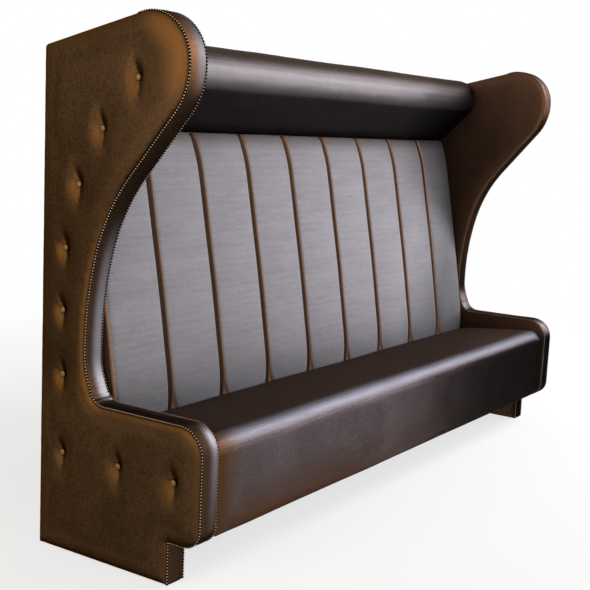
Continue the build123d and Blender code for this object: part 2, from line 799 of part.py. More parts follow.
# Bolts and inserts that join the seat box and the back to the side panels
HEAD_X = INNER_X - RAIL_T
with BuildPart() as panel_bolts:
    with Locations(*across(PANEL_BOLTS, HEAD_X)):
        Cylinder(
            BOLT_HEAD_R, BOLT_HEAD_T, align=(Align.CENTER, Align.CENTER, Align.MAX)
        )
        Cylinder(
            BOLT_R,
            CORE_IN_X + BOLT_IN_CORE - HEAD_X,
            align=(Align.CENTER, Align.CENTER, Align.MIN),
        )
    with BuildSketch(Plane.YZ.offset(HEAD_X - BOLT_HEAD_T)):
        for reach, z in PANEL_BOLTS:
            with Locations(yz(reach, z)):
                RegularPolygon(BOLT_SOCKET_W / 2, 6, major_radius=False)
    extrude(amount=BOLT_SOCKET_DEPTH, mode=Mode.SUBTRACT)
both_sides(panel_bolts, "panel_bolts")

with BuildPart() as panel_inserts:
    with BuildSketch(Plane.YZ.offset(CORE_IN_X)):
        for reach, z in PANEL_BOLTS:
            with Locations(yz(reach, z)):
                Circle(INSERT_R)
                Circle(BOLT_R + BOLT_CLEAR, mode=Mode.SUBTRACT)
    extrude(amount=INSERT_L)
both_sides(panel_inserts, "panel_inserts")
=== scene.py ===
"""Looks of the restaurant booth bench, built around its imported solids.

Metres. X runs along the bench, the sitter looks towards -Y, +Z is up. Most places
are given as a reach, a distance forward from the wall plane, and a height.
"""
import math

import bmesh
import bpy
import numpy as np
from mathutils import Matrix, Vector
from mathutils.geometry import delaunay_2d_cdt

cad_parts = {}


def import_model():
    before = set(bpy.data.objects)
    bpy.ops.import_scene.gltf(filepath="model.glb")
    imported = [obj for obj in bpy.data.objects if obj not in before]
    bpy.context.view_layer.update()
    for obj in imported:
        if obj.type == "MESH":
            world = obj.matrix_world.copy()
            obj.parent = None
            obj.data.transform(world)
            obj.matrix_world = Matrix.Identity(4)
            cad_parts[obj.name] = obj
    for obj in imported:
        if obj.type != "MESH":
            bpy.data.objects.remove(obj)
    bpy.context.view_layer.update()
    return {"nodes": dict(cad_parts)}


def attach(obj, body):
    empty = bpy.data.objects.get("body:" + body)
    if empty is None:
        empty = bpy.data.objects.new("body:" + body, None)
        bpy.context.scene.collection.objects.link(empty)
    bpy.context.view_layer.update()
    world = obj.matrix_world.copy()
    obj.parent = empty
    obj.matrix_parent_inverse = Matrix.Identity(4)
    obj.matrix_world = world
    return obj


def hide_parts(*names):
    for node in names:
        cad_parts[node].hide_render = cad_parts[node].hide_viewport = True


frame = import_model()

# Sizes that the solids share
SEAM_X = 1.330  # the outer seam of each side panel
PANEL_T = 0.074  # between a side panel's two seams
HALF_T = PANEL_T / 2
FACE_PUFF = 0.008
COVER_T = 0.012
ARM_REACH, ARM_TOP_Z, ARM_UNDER_Z, FOOT_REACH = 0.653, 0.4935, 0.136, 0.536
BAND_CROWN = 0.011
EDGE_BAND_CROWN = 0.004
# share of the way along the front band, and share of its full crown there
CROWN_SHARES = np.array([
    (0.0, EDGE_BAND_CROWN / BAND_CROWN), (0.06, 0.32), (0.15, 0.32), (0.50, 0.32),
    (0.62, 0.42), (0.72, 0.60), (0.80, 0.94), (0.85, 1.00), (0.90, 0.90),
    (0.94, 0.45), (0.97, 0.16), (1.0, 0.14)])
BAND_START = 0.365  # reach at which the edge band ends and the front band begins
WALL_Y = (ARM_REACH + BAND_CROWN) / 2
REAR_H = 1.567
TAN_TOP = math.tan(math.radians(13.3))
FLOOR_Z = 0.003
WING_REACH = 0.5615
THROAT_REACH = 0.259
WAIST_REACH = 0.1845
VALLEY_REACH = 0.226
RISE = REAR_H - ARM_TOP_Z
INNER_X = SEAM_X - PANEL_T - FACE_PUFF
TAN_PITCH = math.tan(math.radians(5.7))
SEAT_REACH = 0.645
CUSHION_REAR = 0.2364
SEAT_UNDER_Z = 0.152
SEAT_BACK_Z = 0.418  # where the seat's top meets the back
DECK_FRONT = 0.623
PAD_LOW_REACH, BACK_LOW_Z, BACK_TOP_Z = 0.227, 0.340, 1.320
BOARD_LOW, BOARD_TOP = 0.165, 0.022
TOP_BOARD_TOP_Z = 1.565
PAD_COUNT = 9
PAD_PITCH = 2 * INNER_X / PAD_COUNT
BUTTON_PLACES = [
    (ARM_REACH * reach, REAR_H * z)
    for reach, z in (
        (0.578, 0.942), (0.374, 0.847), (0.234, 0.740),
        (0.154, 0.615), (0.142, 0.492), (0.147, 0.364),
        (0.153, 0.205), (0.511, 0.207), (0.845, 0.205),
    )
]
# reach, height and rounding of a side panel's corners, clockwise from its rear foot
PANEL_CORNERS = [
    (0.0, FLOOR_Z, 0),
    (0.0, REAR_H, 0.011),
    (WING_REACH, REAR_H + WING_REACH * TAN_TOP, 0.145),
    (WING_REACH, ARM_TOP_Z + RISE * 0.8790, 0.208),
    (THROAT_REACH, ARM_TOP_Z + RISE * 0.5526, 0.606),
    (WAIST_REACH, ARM_TOP_Z + RISE * 0.2960, 1.106),
    (WAIST_REACH, ARM_TOP_Z + RISE * 0.0990, 0.220),
    (VALLEY_REACH, ARM_TOP_Z, 0.060),
    (ARM_REACH, ARM_TOP_Z, 0.083),
    (ARM_REACH, ARM_UNDER_Z, 0.060),
    (FOOT_REACH, ARM_UNDER_Z, 0),
    (FOOT_REACH, FLOOR_Z, 0),
]
# the middle of the wing's rounded nose
NOSE_Y, NOSE_Z = -0.0845, 1.5165
LABELS = {-1: "left", 1: "right"}
WHITE = (1, 1, 1)


# Small helpers
def link(obj):
    bpy.context.scene.collection.objects.link(obj)
    return obj


def piece(name, verts, faces, skin, slot, nodes=(), fill=None):
    """A finished mesh piece that rides on the bench and may stand for CAD nodes."""
    mesh = bpy.data.meshes.new(name)
    mesh.from_pydata([tuple(v) for v in verts], [], [tuple(f) for f in faces])
    bm = bmesh.new()
    bm.from_mesh(mesh)
    bmesh.ops.recalc_face_normals(bm, faces=bm.faces)
    bm.to_mesh(mesh)
    bm.free()
    mesh.shade_smooth()
    obj = link(bpy.data.objects.new(name, mesh))
    mesh.materials.append(skin)
    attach(obj, "root")
    if nodes:
        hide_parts(*nodes)
    return obj


def waves(seed, count, low, high):
    """A smooth random field made of plane waves, about -1 to 1; wavelengths in metres."""
    rng = np.random.default_rng(seed)
    lengths = rng.uniform(low, high, count)
    ways = rng.normal(size=(count, 3))
    ways /= np.linalg.norm(ways, axis=1)[:, None]
    k = ways * (2 * math.pi / lengths)[:, None]
    phase = rng.uniform(0, 2 * math.pi, count)
    return lambda p: np.sin(np.asarray(p) @ k.T + phase).sum(1) / math.sqrt(count)


def smooth(edge0, edge1, x):
    """0 to 1 as x goes from edge0 to edge1, level at both ends."""
    t = np.clip((np.asarray(x, float) - edge0) / (edge1 - edge0), 0, 1)
    return t * t * (3 - 2 * t)


def bell(x, width):
    return np.exp(-(x / width) ** 2)


def spline(x, xs, ys):
    """Smooth curve through points, by cubic Hermite pieces."""
    m = np.gradient(ys, xs)
    i = np.clip(np.searchsorted(xs, x) - 1, 0, len(xs) - 2)
    h = xs[i + 1] - xs[i]
    t = (x - xs[i]) / h
    return ((2 * t ** 3 - 3 * t ** 2 + 1) * ys[i] + (t ** 3 - 2 * t ** 2 + t) * h * m[i]
            + (-2 * t ** 3 + 3 * t ** 2) * ys[i + 1] + (t ** 3 - t ** 2) * h * m[i + 1])


def corner_arc(a, b, c, radius, arc_step):
    """Points round the corner at b, and how sharply they turn."""
    d0, d1 = (b - a) / np.linalg.norm(b - a), (c - b) / np.linalg.norm(c - b)
    turn = math.atan2(d0[0] * d1[1] - d0[1] * d1[0], float(d0 @ d1))
    back = radius * math.tan(abs(turn) / 2)
    start = b - d0 * back
    side = math.copysign(1, turn)
    centre = start + side * radius * np.array([-d0[1], d0[0]])
    arm = start - centre
    steps = max(3, int(math.ceil(abs(turn) * radius / arc_step)))
    arc = []
    for k in range(steps + 1):
        angle = turn * k / steps
        cos, sin = math.cos(angle), math.sin(angle)
        arc.append(centre + np.array([arm[0] * cos - arm[1] * sin, arm[0] * sin + arm[1] * cos]))
    return arc, [side / radius] * (steps + 1)


def rounded(corners, step, arc_step, closed=True):
    """Points along an outline with rounded corners, and how sharply it turns there.
    Corners are (reach, z, radius)."""
    p = np.array([c[:2] for c in corners], float)
    count = len(p)
    arcs = []
    for i, (_, _, radius) in enumerate(corners):
        if not radius or (not closed and i in (0, count - 1)):
            arcs.append(([p[i]], [0.0]))
        else:
            arcs.append(corner_arc(p[i - 1], p[i], p[(i + 1) % count], radius, arc_step))
    points, bends = [], []
    for i, (arc, bend) in enumerate(arcs):
        points += arc
        bends += bend
        if i == count - 1 and not closed:
            break
        run = arcs[(i + 1) % count][0][0] - arc[-1]
        n = int(np.linalg.norm(run) / step)
        points += [arc[-1] + run * k / (n + 1) for k in range(1, n + 1)]
        bends += [0.0] * n
    return np.array(points), np.array(bends)


def world(x, reach, z):
    return (x, WALL_Y - reach, z)


def tube(rings):
    """Faces that join closed rings of equally many vertices, and close both ends."""
    n = len(rings[0])
    verts = [v for ring in rings for v in ring]
    faces = []
    for i in range(len(rings) - 1):
        for j in range(n):
            k = (j + 1) % n
            faces.append((i * n + j, i * n + k, (i + 1) * n + k, (i + 1) * n + j))
    faces.append(tuple(range(n)))
    faces.append(tuple((len(rings) - 1) * n + j for j in range(n)))
    return verts, faces


def unit_rows(rows):
    return rows / np.linalg.norm(rows, axis=1)[:, None]


def loop_tangents(loop):
    return unit_rows(np.roll(loop, -1, axis=0) - np.roll(loop, 1, axis=0))


# Shader nodes
def add(kind, inputs=None, tree=None, **props):
    """A new shader node beside what feeds it; inputs are linked or set by name or
    number, and a tree is given only where nothing feeds the node."""
    sockets = {key: value for key, value in (inputs or {}).items()
               if isinstance(value, bpy.types.NodeSocket)}
    tree = tree or next(iter(sockets.values())).id_data
    node = tree.nodes.new("ShaderNode" + kind)
    for key, value in props.items():
        setattr(node, key, value)
    for key, value in (inputs or {}).items():
        if key in sockets:
            tree.links.new(value, node.inputs[key])
        else:
            node.inputs[key].default_value = value
    return node


def material(name, finish, *colours, **settings):
    """A material whose shader a finish builds from the place on the object."""
    m = bpy.data.materials.new(name)
    m.use_nodes = True
    m.node_tree.nodes.clear()
    at = add("TexCoord", tree=m.node_tree).outputs["Object"]
    add("OutputMaterial", {0: finish(at, *colours, **settings).outputs[0]})
    return m


def axes(vector):
    """The x, y and z of a vector."""
    return add("SeparateXYZ", {0: vector}).outputs


def scaled(vector, scale):
    return add("Mapping", {"Vector": vector, "Scale": scale}).outputs[0]


def noise(vector, scale, detail=3.0, rough=0.55):
    return add("TexNoise", {"Vector": vector, "Scale": scale, "Detail": detail,
                            "Roughness": rough}).outputs["Fac"]


def ramp(value, low, high, to_low=0.0, to_high=1.0, kind="LINEAR"):
    return add("MapRange", {0: value, 1: low, 2: high, 3: to_low, 4: to_high},
               interpolation_type=kind).outputs[0]


def soft_step(value, low, high):
    """0 to 1 as the value goes from low to high, level at both ends."""
    return ramp(value, low, high, kind="SMOOTHSTEP")


def maths(operation, a, b=0.0):
    return add("Math", {0: a, 1: b}, operation=operation).outputs[0]


def times(value, *others):
    for other in others:
        value = maths("MULTIPLY", value, other)
    return value


def plus(value, *others):
    for other in others:
        value = maths("ADD", value, other)
    return value


def minus(a, b):
    return maths("SUBTRACT", a, b)


def blend(share, a, b):
    """A share of colour b over colour a; either is a socket or linear RGB."""
    a, b = (c if isinstance(c, bpy.types.NodeSocket) else (*c, 1) for c in (a, b))
    return add("Mix", {0: share, 6: a, 7: b}, data_type="RGBA").outputs[2]


def toned(colour, share):
    """The colour made lighter or deeper by a factor."""
    return add("VectorMath", {0: colour, 3: share}, operation="SCALE").outputs[0]


def wave(value, length):
    return maths("SINE", times(value, 2 * math.pi / length))


def lattice(vector, pitch):
    """A fine embossed grid that reads on any face: waves along all three axes."""
    return plus(*[wave(axis, pitch) for axis in axes(vector)])


def bump(height, strength, distance, before=None):
    inputs = {"Height": height, "Strength": strength, "Distance": distance}
    if before is not None:
        inputs["Normal"] = before
    return add("Bump", inputs).outputs[0]


def hollow_shade(colour, span, least):
    """Painted shade: the colour deepened where other surfaces stand close around."""
    open_share = add("AmbientOcclusion", {"Distance": span}, tree=colour.id_data,
                     samples=6).outputs["AO"]
    return toned(colour, ramp(open_share, 0.34, 0.92, least, 1.0))


def turned(normal, way, low, high):
    """0 to 1 as the surface turns from low to high towards the given way."""
    dot = add("VectorMath", {0: normal, 1: way}, operation="DOT_PRODUCT")
    return soft_step(dot.outputs["Value"], low, high)


# Finishes
def leatherette(at, dark, light, metallic, roughness, edge, under=1.0, over=1.0,
                weave=0.0026, emboss=0.35, worn=0.25, crease=0.0, patina=None):
    """Embossed bronze leatherette: a fine woven emboss, soft tone changes and worn
    edges. Painted shade deepens faces that look down or up, by under and over, and
    the recesses up to the crease's width, and painted highlights and shade are laid in."""
    mottle = noise(at, 130.0)
    tone = plus(times(noise(at, 5.0, 2.0), 0.30), times(mottle, 0.70))
    colour = blend(ramp(tone, 0.35, 0.65), dark, light)
    grid = lattice(at, weave)
    coarse = plus(grid, lattice(at, 2.4 * weave))
    colour = toned(colour, ramp(coarse, -3.0, 3.0, 0.78, 1.20))
    geometry = add("NewGeometry", tree=at.id_data).outputs
    rubbed = ramp(geometry["Pointiness"], 0.52, 0.62, 0.0, worn)
    colour = blend(rubbed, colour, [min(1, 1.6 * c) for c in light])
    turn = geometry["Normal"]
    facing = axes(turn)[2]
    # painted highlights and shade, laid in by the given function
    if patina:
        colour = patina(at, turn, facing, colour)
    # painted shade: faces that look down are deepened by under, faces that look up by over
    tilt_shade = times(ramp(facing, -0.75, 0.1, under, 1.0), ramp(facing, 0.25, 0.95, 1.0, over))
    colour = toned(colour, tilt_shade)
    # painted shade in the recesses, as far out as the crease's width
    if crease:
        colour = hollow_shade(colour, crease, 0.12)
    normal = bump(grid, emboss, 0.00025)
    normal = bump(noise(at, 420.0), 0.25, 0.0002, normal)
    normal = bump(noise(at, 14.0, 2.0), 0.05, 0.004, normal)
    rough = ramp(plus(mottle, times(grid, 0.05)), 0.2, 0.8, roughness - 0.05, roughness + 0.07)
    return add("BsdfPrincipled", {
        "Base Color": colour, "Metallic": metallic, "Roughness": rough,
        "Specular IOR Level": 0.0, "Specular Tint": (*edge, 1), "Normal": normal})


def woven(at, dark, light, thread=0.0045, sheen=0.25):
    """Woven cloth: a fine grid, soft bands 24 mm apart and faint slubs, with painted
    shade close under the head roll, towards the right-hand end and in recesses.
    """
    x, _, z = axes(at)
    slub = noise(scaled(at, (14.0, 14.0, 150.0)), 1.0, 4.0, 0.6)
    wide = noise(scaled(at, (4.0, 4.0, 22.0)), 1.0, 3.0, 0.6)
    fleck = noise(scaled(at, (160.0, 160.0, 420.0)), 1.0)
    bands = maths("SINE", plus(times(z, 2 * math.pi / 0.0243), times(wide, 5.0)))
    tone = plus(times(slub, 0.22), times(wide, 0.25), times(fleck, 0.53), times(bands, 0.016))
    colour = blend(ramp(tone, 0.39, 0.61), dark, light)
    cloth = plus(times(wave(z, thread), 0.5), times(wave(x, thread * 0.9), 0.3))
    colour = toned(colour, ramp(cloth, -0.8, 0.8, 0.80, 1.16))
    colour = hollow_shade(painted_pad_shade(x, z, colour), 0.32, 0.26)
    normal = bump(slub, 0.5, 0.0006, bump(cloth, 0.5, 0.0004))
    return add("BsdfPrincipled", {
        "Base Color": colour, "Roughness": ramp(slub, 0.3, 0.7, 0.72, 0.86),
        "Specular IOR Level": 0.25, "Sheen Weight": sheen,
        "Sheen Roughness": 0.45, "Sheen Tint": (0.86, 0.84, 0.92, 1),
        "Normal": normal})


def wood(at, dark, light, across=90.0, along=3.0):
    """Sheet wood with long grain and a few darker streaks."""
    grain = noise(scaled(at, (along, across, across)), 1.0, 5.0, 0.6)
    streak = noise(scaled(at, (along * 0.4, across / 6, across / 6)), 1.0)
    tone = plus(times(grain, 0.6), times(streak, 0.4))
    return add("BsdfPrincipled", {
        "Base Color": blend(ramp(tone, 0.38, 0.62), dark, light),
        "Roughness": ramp(grain, 0.3, 0.7, 0.6, 0.75),
        "Specular IOR Level": 0.3, "Normal": bump(grain, 0.3, 0.0003)})


def hard(at, colour, metallic, roughness):
    """Metal or moulded plastic with a fine surface and slight smudges."""
    smudge = noise(at, 12.0)
    deeper = [0.85 * c for c in colour]
    return add("BsdfPrincipled", {
        "Base Color": blend(ramp(smudge, 0.3, 0.7), deeper, colour),
        "Metallic": metallic,
        "Roughness": ramp(smudge, 0.3, 0.7, roughness, roughness + 0.12),
        "Normal": bump(noise(at, 260.0), 0.2, 0.0001)})


def twisted(at, colour, specular):
    """Twisted thread, with its strands lighter and darker by turns."""
    twist = add("TexWave", {"Vector": at, "Scale": 700.0, "Distortion": 1.0}).outputs["Fac"]
    deeper = [0.7 * c for c in colour]
    return add("BsdfPrincipled", {
        "Base Color": blend(ramp(twist, 0.2, 0.8), deeper, colour),
        "Roughness": ramp(twist, 0.0, 1.0, 0.5, 0.65),
        "Specular IOR Level": specular, "Normal": bump(twist, 0.4, 0.0002)})


# Painted highlights, sheens, reflections and shades that the covers are toned to, in linear RGB
DIMPLE_SHADE = (0.008, 0.0045, 0.0022)
DIMPLE_HIGHLIGHT = (0.066, 0.0320, 0.0105)
NOSE_HIGHLIGHT = (0.100, 0.0480, 0.0170)
RIM_HIGHLIGHT = (0.130, 0.0620, 0.0270)
RIM_SHADE = (0.016, 0.0110, 0.0080)
BAND_WARM_HIGHLIGHT = (0.160, 0.0850, 0.0490)
ARM_PAINTED_SHEEN = (0.212, 0.2020, 0.2180)
WING_PAINTED_SHEEN = (0.122, 0.1160, 0.1230)
FAR_ARM_SHADE = (0.012, 0.0095, 0.0075)
SEAT_TOP_SHADE = (0.078, 0.0540, 0.0430)
SEAT_NOSE_HIGHLIGHT = (0.108, 0.1085, 0.1250)
SEAT_FAR_SHADE = (0.015, 0.0125, 0.0108)
SEAT_AMBER_REFLECTION = (0.086, 0.0400, 0.0165)
ROLL_TOP_SHADE = (0.050, 0.0385, 0.0290)
ROLL_HIGHLIGHT = (0.136, 0.1260, 0.1290)
PAD_TOP_SHADE = (0.092, 0.0610, 0.0440)


def painted_face_light(at, turn, facing, colour):
    """The outer faces' bronze, with painted light and shade: brighter on the arm and the
    wing, painted shade where the padding turns down into a dimple, and an amber
    painted highlight where it turns up to the front and round the nose of the wing."""
    _, y, z = axes(at)
    arm_lift = ramp(z, 0.45, 0.62, 1.25, 0.82)
    wing_lift = ramp(z, 0.95, 1.45, 0.0, 0.52)
    colour = toned(colour, plus(arm_lift, wing_lift))
    down = times(turned(turn, (0, 0.30, -0.95), 0.06, 0.24), 0.75)
    colour = blend(down, colour, DIMPLE_SHADE)
    colour = blend(turned(turn, (0, -0.70, 0.71), 0.02, 0.22), colour, DIMPLE_HIGHLIGHT)
    reach, rise = minus(NOSE_Y, y), minus(z, NOSE_Z)
    span = maths("SQRT", plus(times(reach, reach), times(rise, rise)))
    rim = times(soft_step(span, 0.030, 0.112), ramp(span, 0.122, 0.143, 1.0, 0.35))
    front = soft_step(plus(reach, times(rise, 0.45)), 0.0, 0.085)
    glow = times(rim, front, soft_step(rise, -0.16, 0.0))
    return blend(glow, colour, NOSE_HIGHLIGHT)


def painted_inner_light(at, turn, facing, colour):
    """The inner faces, with painted light: lighter higher up, an amber painted highlight
    where their padding turns to the front of the wing, and painted shade where it
    turns to the front of the arm."""
    z = axes(at)[2]
    colour = toned(colour, ramp(z, 0.60, 1.30, 0.95, 1.32))
    amber = times(turned(turn, (0, -0.90, 0.44), 0.03, 0.30), soft_step(z, 0.9, 1.3),
                  ramp(facing, 0.20, 0.50, 1.0, 0.1))
    colour = blend(amber, colour, RIM_HIGHLIGHT)
    low = times(turned(turn, (0, -0.97, 0.24), 0.02, 0.25), soft_step(z, 0.47, 0.41))
    return blend(low, colour, RIM_SHADE)


def painted_band_light(at, turn, facing, colour):
    """The bands: a warm painted highlight where they face the lamps, a cool painted sheen
    across to the left panel's inner seam, and painted shade on the right panel, most
    of all on the front of its arm."""
    x, _, z = axes(at)
    across = maths("DIVIDE", plus(x, SEAM_X), PANEL_T)
    right = soft_step(x, -0.5, 0.5)
    wing = soft_step(z, 1.20, 1.42)
    lit = times(soft_step(facing, -0.50, -0.05), ramp(facing, 0.72, 0.97, 1.0, 0.12),
                ramp(right, 0.0, 1.0, 1.0, 0.42))
    warm = times(lit, plus(times(wing, 0.75), 0.15))
    colour = blend(warm, colour, BAND_WARM_HIGHLIGHT)
    away = times(right, soft_step(facing, 0.45, 0.05))
    dull = times(away, ramp(wing, 0.0, 1.0, 1.0, 0.2))
    cool = times(lit, soft_step(across, 0.23, 0.66), 0.9, ramp(z, 0.14, 0.42), minus(1.0, dull))
    colour = blend(cool, colour, blend(wing, ARM_PAINTED_SHEEN, WING_PAINTED_SHEEN))
    return blend(times(away, soft_step(z, 0.95, 0.45)), colour, FAR_ARM_SHADE)


def painted_seat_light(at, turn, facing, colour):
    """The seat: a cool painted highlight along its nose, painted brown shade on top, an
    amber painted reflection at its left-hand end and lower edge, and painted shade
    towards the right-hand end of its front."""
    x, _, z = axes(at)
    colour = blend(soft_step(facing, 0.86, 0.985), colour, SEAT_TOP_SHADE)
    nose = times(turned(turn, (0, -0.62, 0.785), 0.86, 0.995), 0.85)
    colour = blend(nose, colour, SEAT_NOSE_HIGHLIGHT)
    past = maths("MAXIMUM", times(plus(x, 0.2), 1 / 0.35), 0.0)
    past = times(past, past)
    deep = times(maths("DIVIDE", past, plus(past, 1.0)), soft_step(facing, 0.75, 0.25))
    colour = blend(deep, colour, SEAT_FAR_SHADE)
    leftward = times(x, -1.0)
    low = times(ramp(z, 0.15, 0.30, 0.9, 0.0), soft_step(leftward, -0.6, 1.1))
    amber = maths("MAXIMUM", soft_step(leftward, 1.10, 1.25), low)
    return blend(amber, colour, SEAT_AMBER_REFLECTION)


def painted_roll_light(at, turn, facing, colour):
    """The head roll: painted brown shade on top, a cool painted highlight along its front,
    and painted shade at its right-hand end."""
    colour = blend(soft_step(facing, 0.38, 0.78), colour, ROLL_TOP_SHADE)
    front = times(soft_step(facing, -0.72, -0.52), soft_step(facing, 0.40, 0.05))
    colour = blend(front, colour, ROLL_HIGHLIGHT)
    return toned(colour, ramp(axes(at)[0], 0.70, 1.22, 1.0, 0.22))


def painted_groove_shade(at, turn, facing, colour):
    """Painted shade and light in the grooves: the strips are deepest in tone against the pad on
    their left, and lighter towards their right.
    """
    along = plus(axes(at)[0], INNER_X + PAD_PITCH / 2)
    from_groove = minus(maths("FLOORED_MODULO", along, PAD_PITCH), PAD_PITCH / 2)
    return toned(colour, ramp(from_groove, 0.0121, 0.0185, 0.22, 1.6))


def painted_pad_shade(x, z, colour):
    """Painted shade on the pads: deeper and browner close under the head roll, and a
    painted shadow deepening towards the right-hand end, where the wing stands before them."""
    shade = times(ramp(soft_step(z, 1.350, 1.262), 0.0, 1.0, 0.62, 1.0),
                  ramp(minus(x, times(z, 0.55)), 0.30, 0.68, 1.0, 0.30))
    brown = times(soft_step(z, 1.258, 1.314), 0.66)
    return blend(brown, toned(colour, shade), PAD_TOP_SHADE)


PANEL_SKIN = material("panel_skin", leatherette,
    (0.0235, 0.0132, 0.0066), (0.0430, 0.0245, 0.0125), metallic=0.90, roughness=0.36,
    edge=(0.60, 0.46, 0.34), over=0.45, crease=0.011, patina=painted_face_light)
BAND_SKIN = material("band_skin", leatherette,
    (0.0310, 0.0190, 0.0120), (0.0430, 0.0265, 0.0170), metallic=0.90, roughness=0.42,
    edge=(0.30, 0.26, 0.24), over=0.9, patina=painted_band_light)
INNER_SKIN = material("inner_skin", leatherette,
    (0.046, 0.0240, 0.0145), (0.069, 0.0360, 0.0220), metallic=0.75, roughness=0.42,
    edge=(0.55, 0.38, 0.26), patina=painted_inner_light)
SEAT_SKIN = material("seat_skin", leatherette,
    (0.078, 0.0640, 0.0640), (0.133, 0.1105, 0.1120), metallic=0.90, roughness=0.42,
    edge=(0.30, 0.29, 0.30), weave=0.0030, worn=0.0, patina=painted_seat_light)
ROLL_SKIN = material("roll_skin", leatherette,
    (0.066, 0.0585, 0.0585), (0.090, 0.0810, 0.0820), metallic=0.85, roughness=0.48,
    edge=(0.55, 0.50, 0.50), under=0.30, over=0.75, weave=0.0030, emboss=0.2,
    worn=0.0, patina=painted_roll_light)
STRIP_SKIN = material("strip_skin", leatherette,
    (0.160, 0.0900, 0.0580), (0.225, 0.1280, 0.0830), metallic=0.40, roughness=0.45,
    edge=(0.5, 0.4, 0.3), patina=painted_groove_shade)
BUTTON_SKIN = material("button_skin", leatherette,
    (0.110, 0.0680, 0.0340), (0.165, 0.1020, 0.0510), metallic=0.80, roughness=0.32,
    edge=(0.6, 0.45, 0.3))
CHANNEL_CLOTH = material("channel_cloth", woven, (0.185, 0.173, 0.182), (0.275, 0.260, 0.278))
DUST_CLOTH = material("dust_cloth_black", woven,
    (0.010, 0.010, 0.011), (0.022, 0.022, 0.024), thread=0.0018, sheen=0.1)
PLYWOOD = material("plywood_sheet", wood, (0.42, 0.29, 0.17), (0.60, 0.44, 0.28))
HARDBOARD = material("hardboard_sheet", wood,
    (0.16, 0.095, 0.055), (0.24, 0.15, 0.09), across=240.0, along=60.0)
STEEL = material("zinc_steel", hard, (0.58, 0.58, 0.57), metallic=1.0, roughness=0.28)
PLASTIC = material("glide_black", hard, (0.02, 0.02, 0.021), metallic=0.0, roughness=0.45)
THREAD = material("seam_thread", twisted, (0.72, 0.60, 0.50), specular=0.1)
# near-black marks between the stitches: needle holes and the painted shade of the seam's crease
HOLE_SHADE = material("needle_hole_shade", twisted, (0.010, 0.006, 0.004), specular=0.0)


# Side panels
def edge_distance(points, chunk=2000):
    """Distance of each point to a panel's outline."""
    a = OUTLINE
    ab = np.roll(OUTLINE, -1, axis=0) - a
    length2 = (ab ** 2).sum(1)
    out = np.empty(len(points))
    for i in range(0, len(points), chunk):
        p = points[i:i + chunk, None, :]
        t = np.clip(((p - a) * ab).sum(2) / length2, 0, 1)
        out[i:i + chunk] = np.sqrt((((a + ab * t[..., None]) - p) ** 2).sum(2).min(1))
    return out


def inside(points):
    x, y = points[:, 0], points[:, 1]
    hit = np.zeros(len(points), bool)
    for (x0, y0), (x1, y1) in zip(OUTLINE, np.roll(OUTLINE, -1, axis=0)):
        if y0 == y1:
            continue
        crosses = (y0 > y) != (y1 > y)
        hit ^= crosses & (x < (x1 - x0) * (y - y0) / (y1 - y0) + x0)
    return hit


OUTLINE, _ = rounded(PANEL_CORNERS, 0.008, 0.006)
# Spacing of a face's mesh: rows in from the outline, rings about a button, the rest
INSETS = (0.0012, 0.0026, 0.0042, 0.0056, 0.0075, 0.010, 0.0135, 0.018, 0.024,
          0.031, 0.039, 0.048, 0.057)
BUTTON_RINGS = (0.0, 0.006, 0.009, 0.011, 0.013, 0.0155, 0.0185, 0.022, 0.026,
                0.0305, 0.036, 0.042, 0.049, 0.057)
RING_SPACING = 0.0050
RING_LEAST = 20
GRID = 0.0085
GRID_ROW = 0.87 * GRID


def button_rings(buttons):
    """Points on rings about each button, every second one half a step further round."""
    points = []
    for reach, z in buttons:
        for r in BUTTON_RINGS:
            n = int(max(RING_LEAST, 2 * math.pi * r / RING_SPACING)) if r else 1
            for k in range(n):
                a = 2 * math.pi * (k + 0.5 * (len(points) % 2)) / n
                points.append((reach + r * math.cos(a), z + r * math.sin(a)))
    return np.array(points).reshape(-1, 2)


def face_points(buttons):
    """Points over a face: its outline, rows inside it, a grid, rings about buttons."""
    rows = [OUTLINE]
    tangent = loop_tangents(OUTLINE)
    inward = np.stack([tangent[:, 1], -tangent[:, 0]], 1)
    for d in INSETS:
        row = OUTLINE + inward * d
        near = edge_distance(row)
        rows.append(row[(near > d * 0.93) & inside(row)])
    low, high = OUTLINE.min(0), OUTLINE.max(0)
    gx = np.arange(low[0], high[0], GRID)
    gz = np.arange(low[1], high[1], GRID_ROW)
    grid = np.array([(x + (GRID / 2 if k % 2 else 0), z) for k, z in enumerate(gz) for x in gx])
    grid = grid[inside(grid)]
    keep = edge_distance(grid) > INSETS[-1] + GRID * 0.6
    for centre in buttons:
        keep &= np.linalg.norm(grid - np.array(centre), axis=1) > (BUTTON_RINGS[-1] + GRID * 0.5)
    rings = button_rings(buttons)
    rings = rings[edge_distance(rings) > INSETS[-1] + 0.002]
    return np.concatenate([*rows, grid[keep], rings])


# How a padded face rises from its seam: (height, reach of the rise) of a tight roll
# and of a broad swell
OUTER_RISES = ((0.0050, 0.0045), (0.0085, 0.036))
INNER_RISES = ((0.0042, 0.0045), (0.0045, 0.026))
SEAM_DENT, SEAM_DENT_WIDTH = 0.0011, 0.0018

DIMPLE_DEEP = 0.0120
DIMPLE_FLOOR_R = 0.0085  # flat under the button
DIMPLE_UP, DIMPLE_DOWN, DIMPLE_FRONT, DIMPLE_BACK = 0.032, 0.044, 0.017, 0.023
# pleats that run out of a dimple: way, depth, half angle and length
PLEATS = ((1.75, 0.0034, 0.30, 0.052), (-1.38, 0.0030, 0.30, 0.056))


def face_rise(d, rises):
    return sum(h * (1 - np.exp(-d / w)) for h, w in rises)


def seam_marks(d):
    """Crease that the stitches pull in along a seam, at distance d from it."""
    return -SEAM_DENT * bell(d, SEAM_DENT_WIDTH)


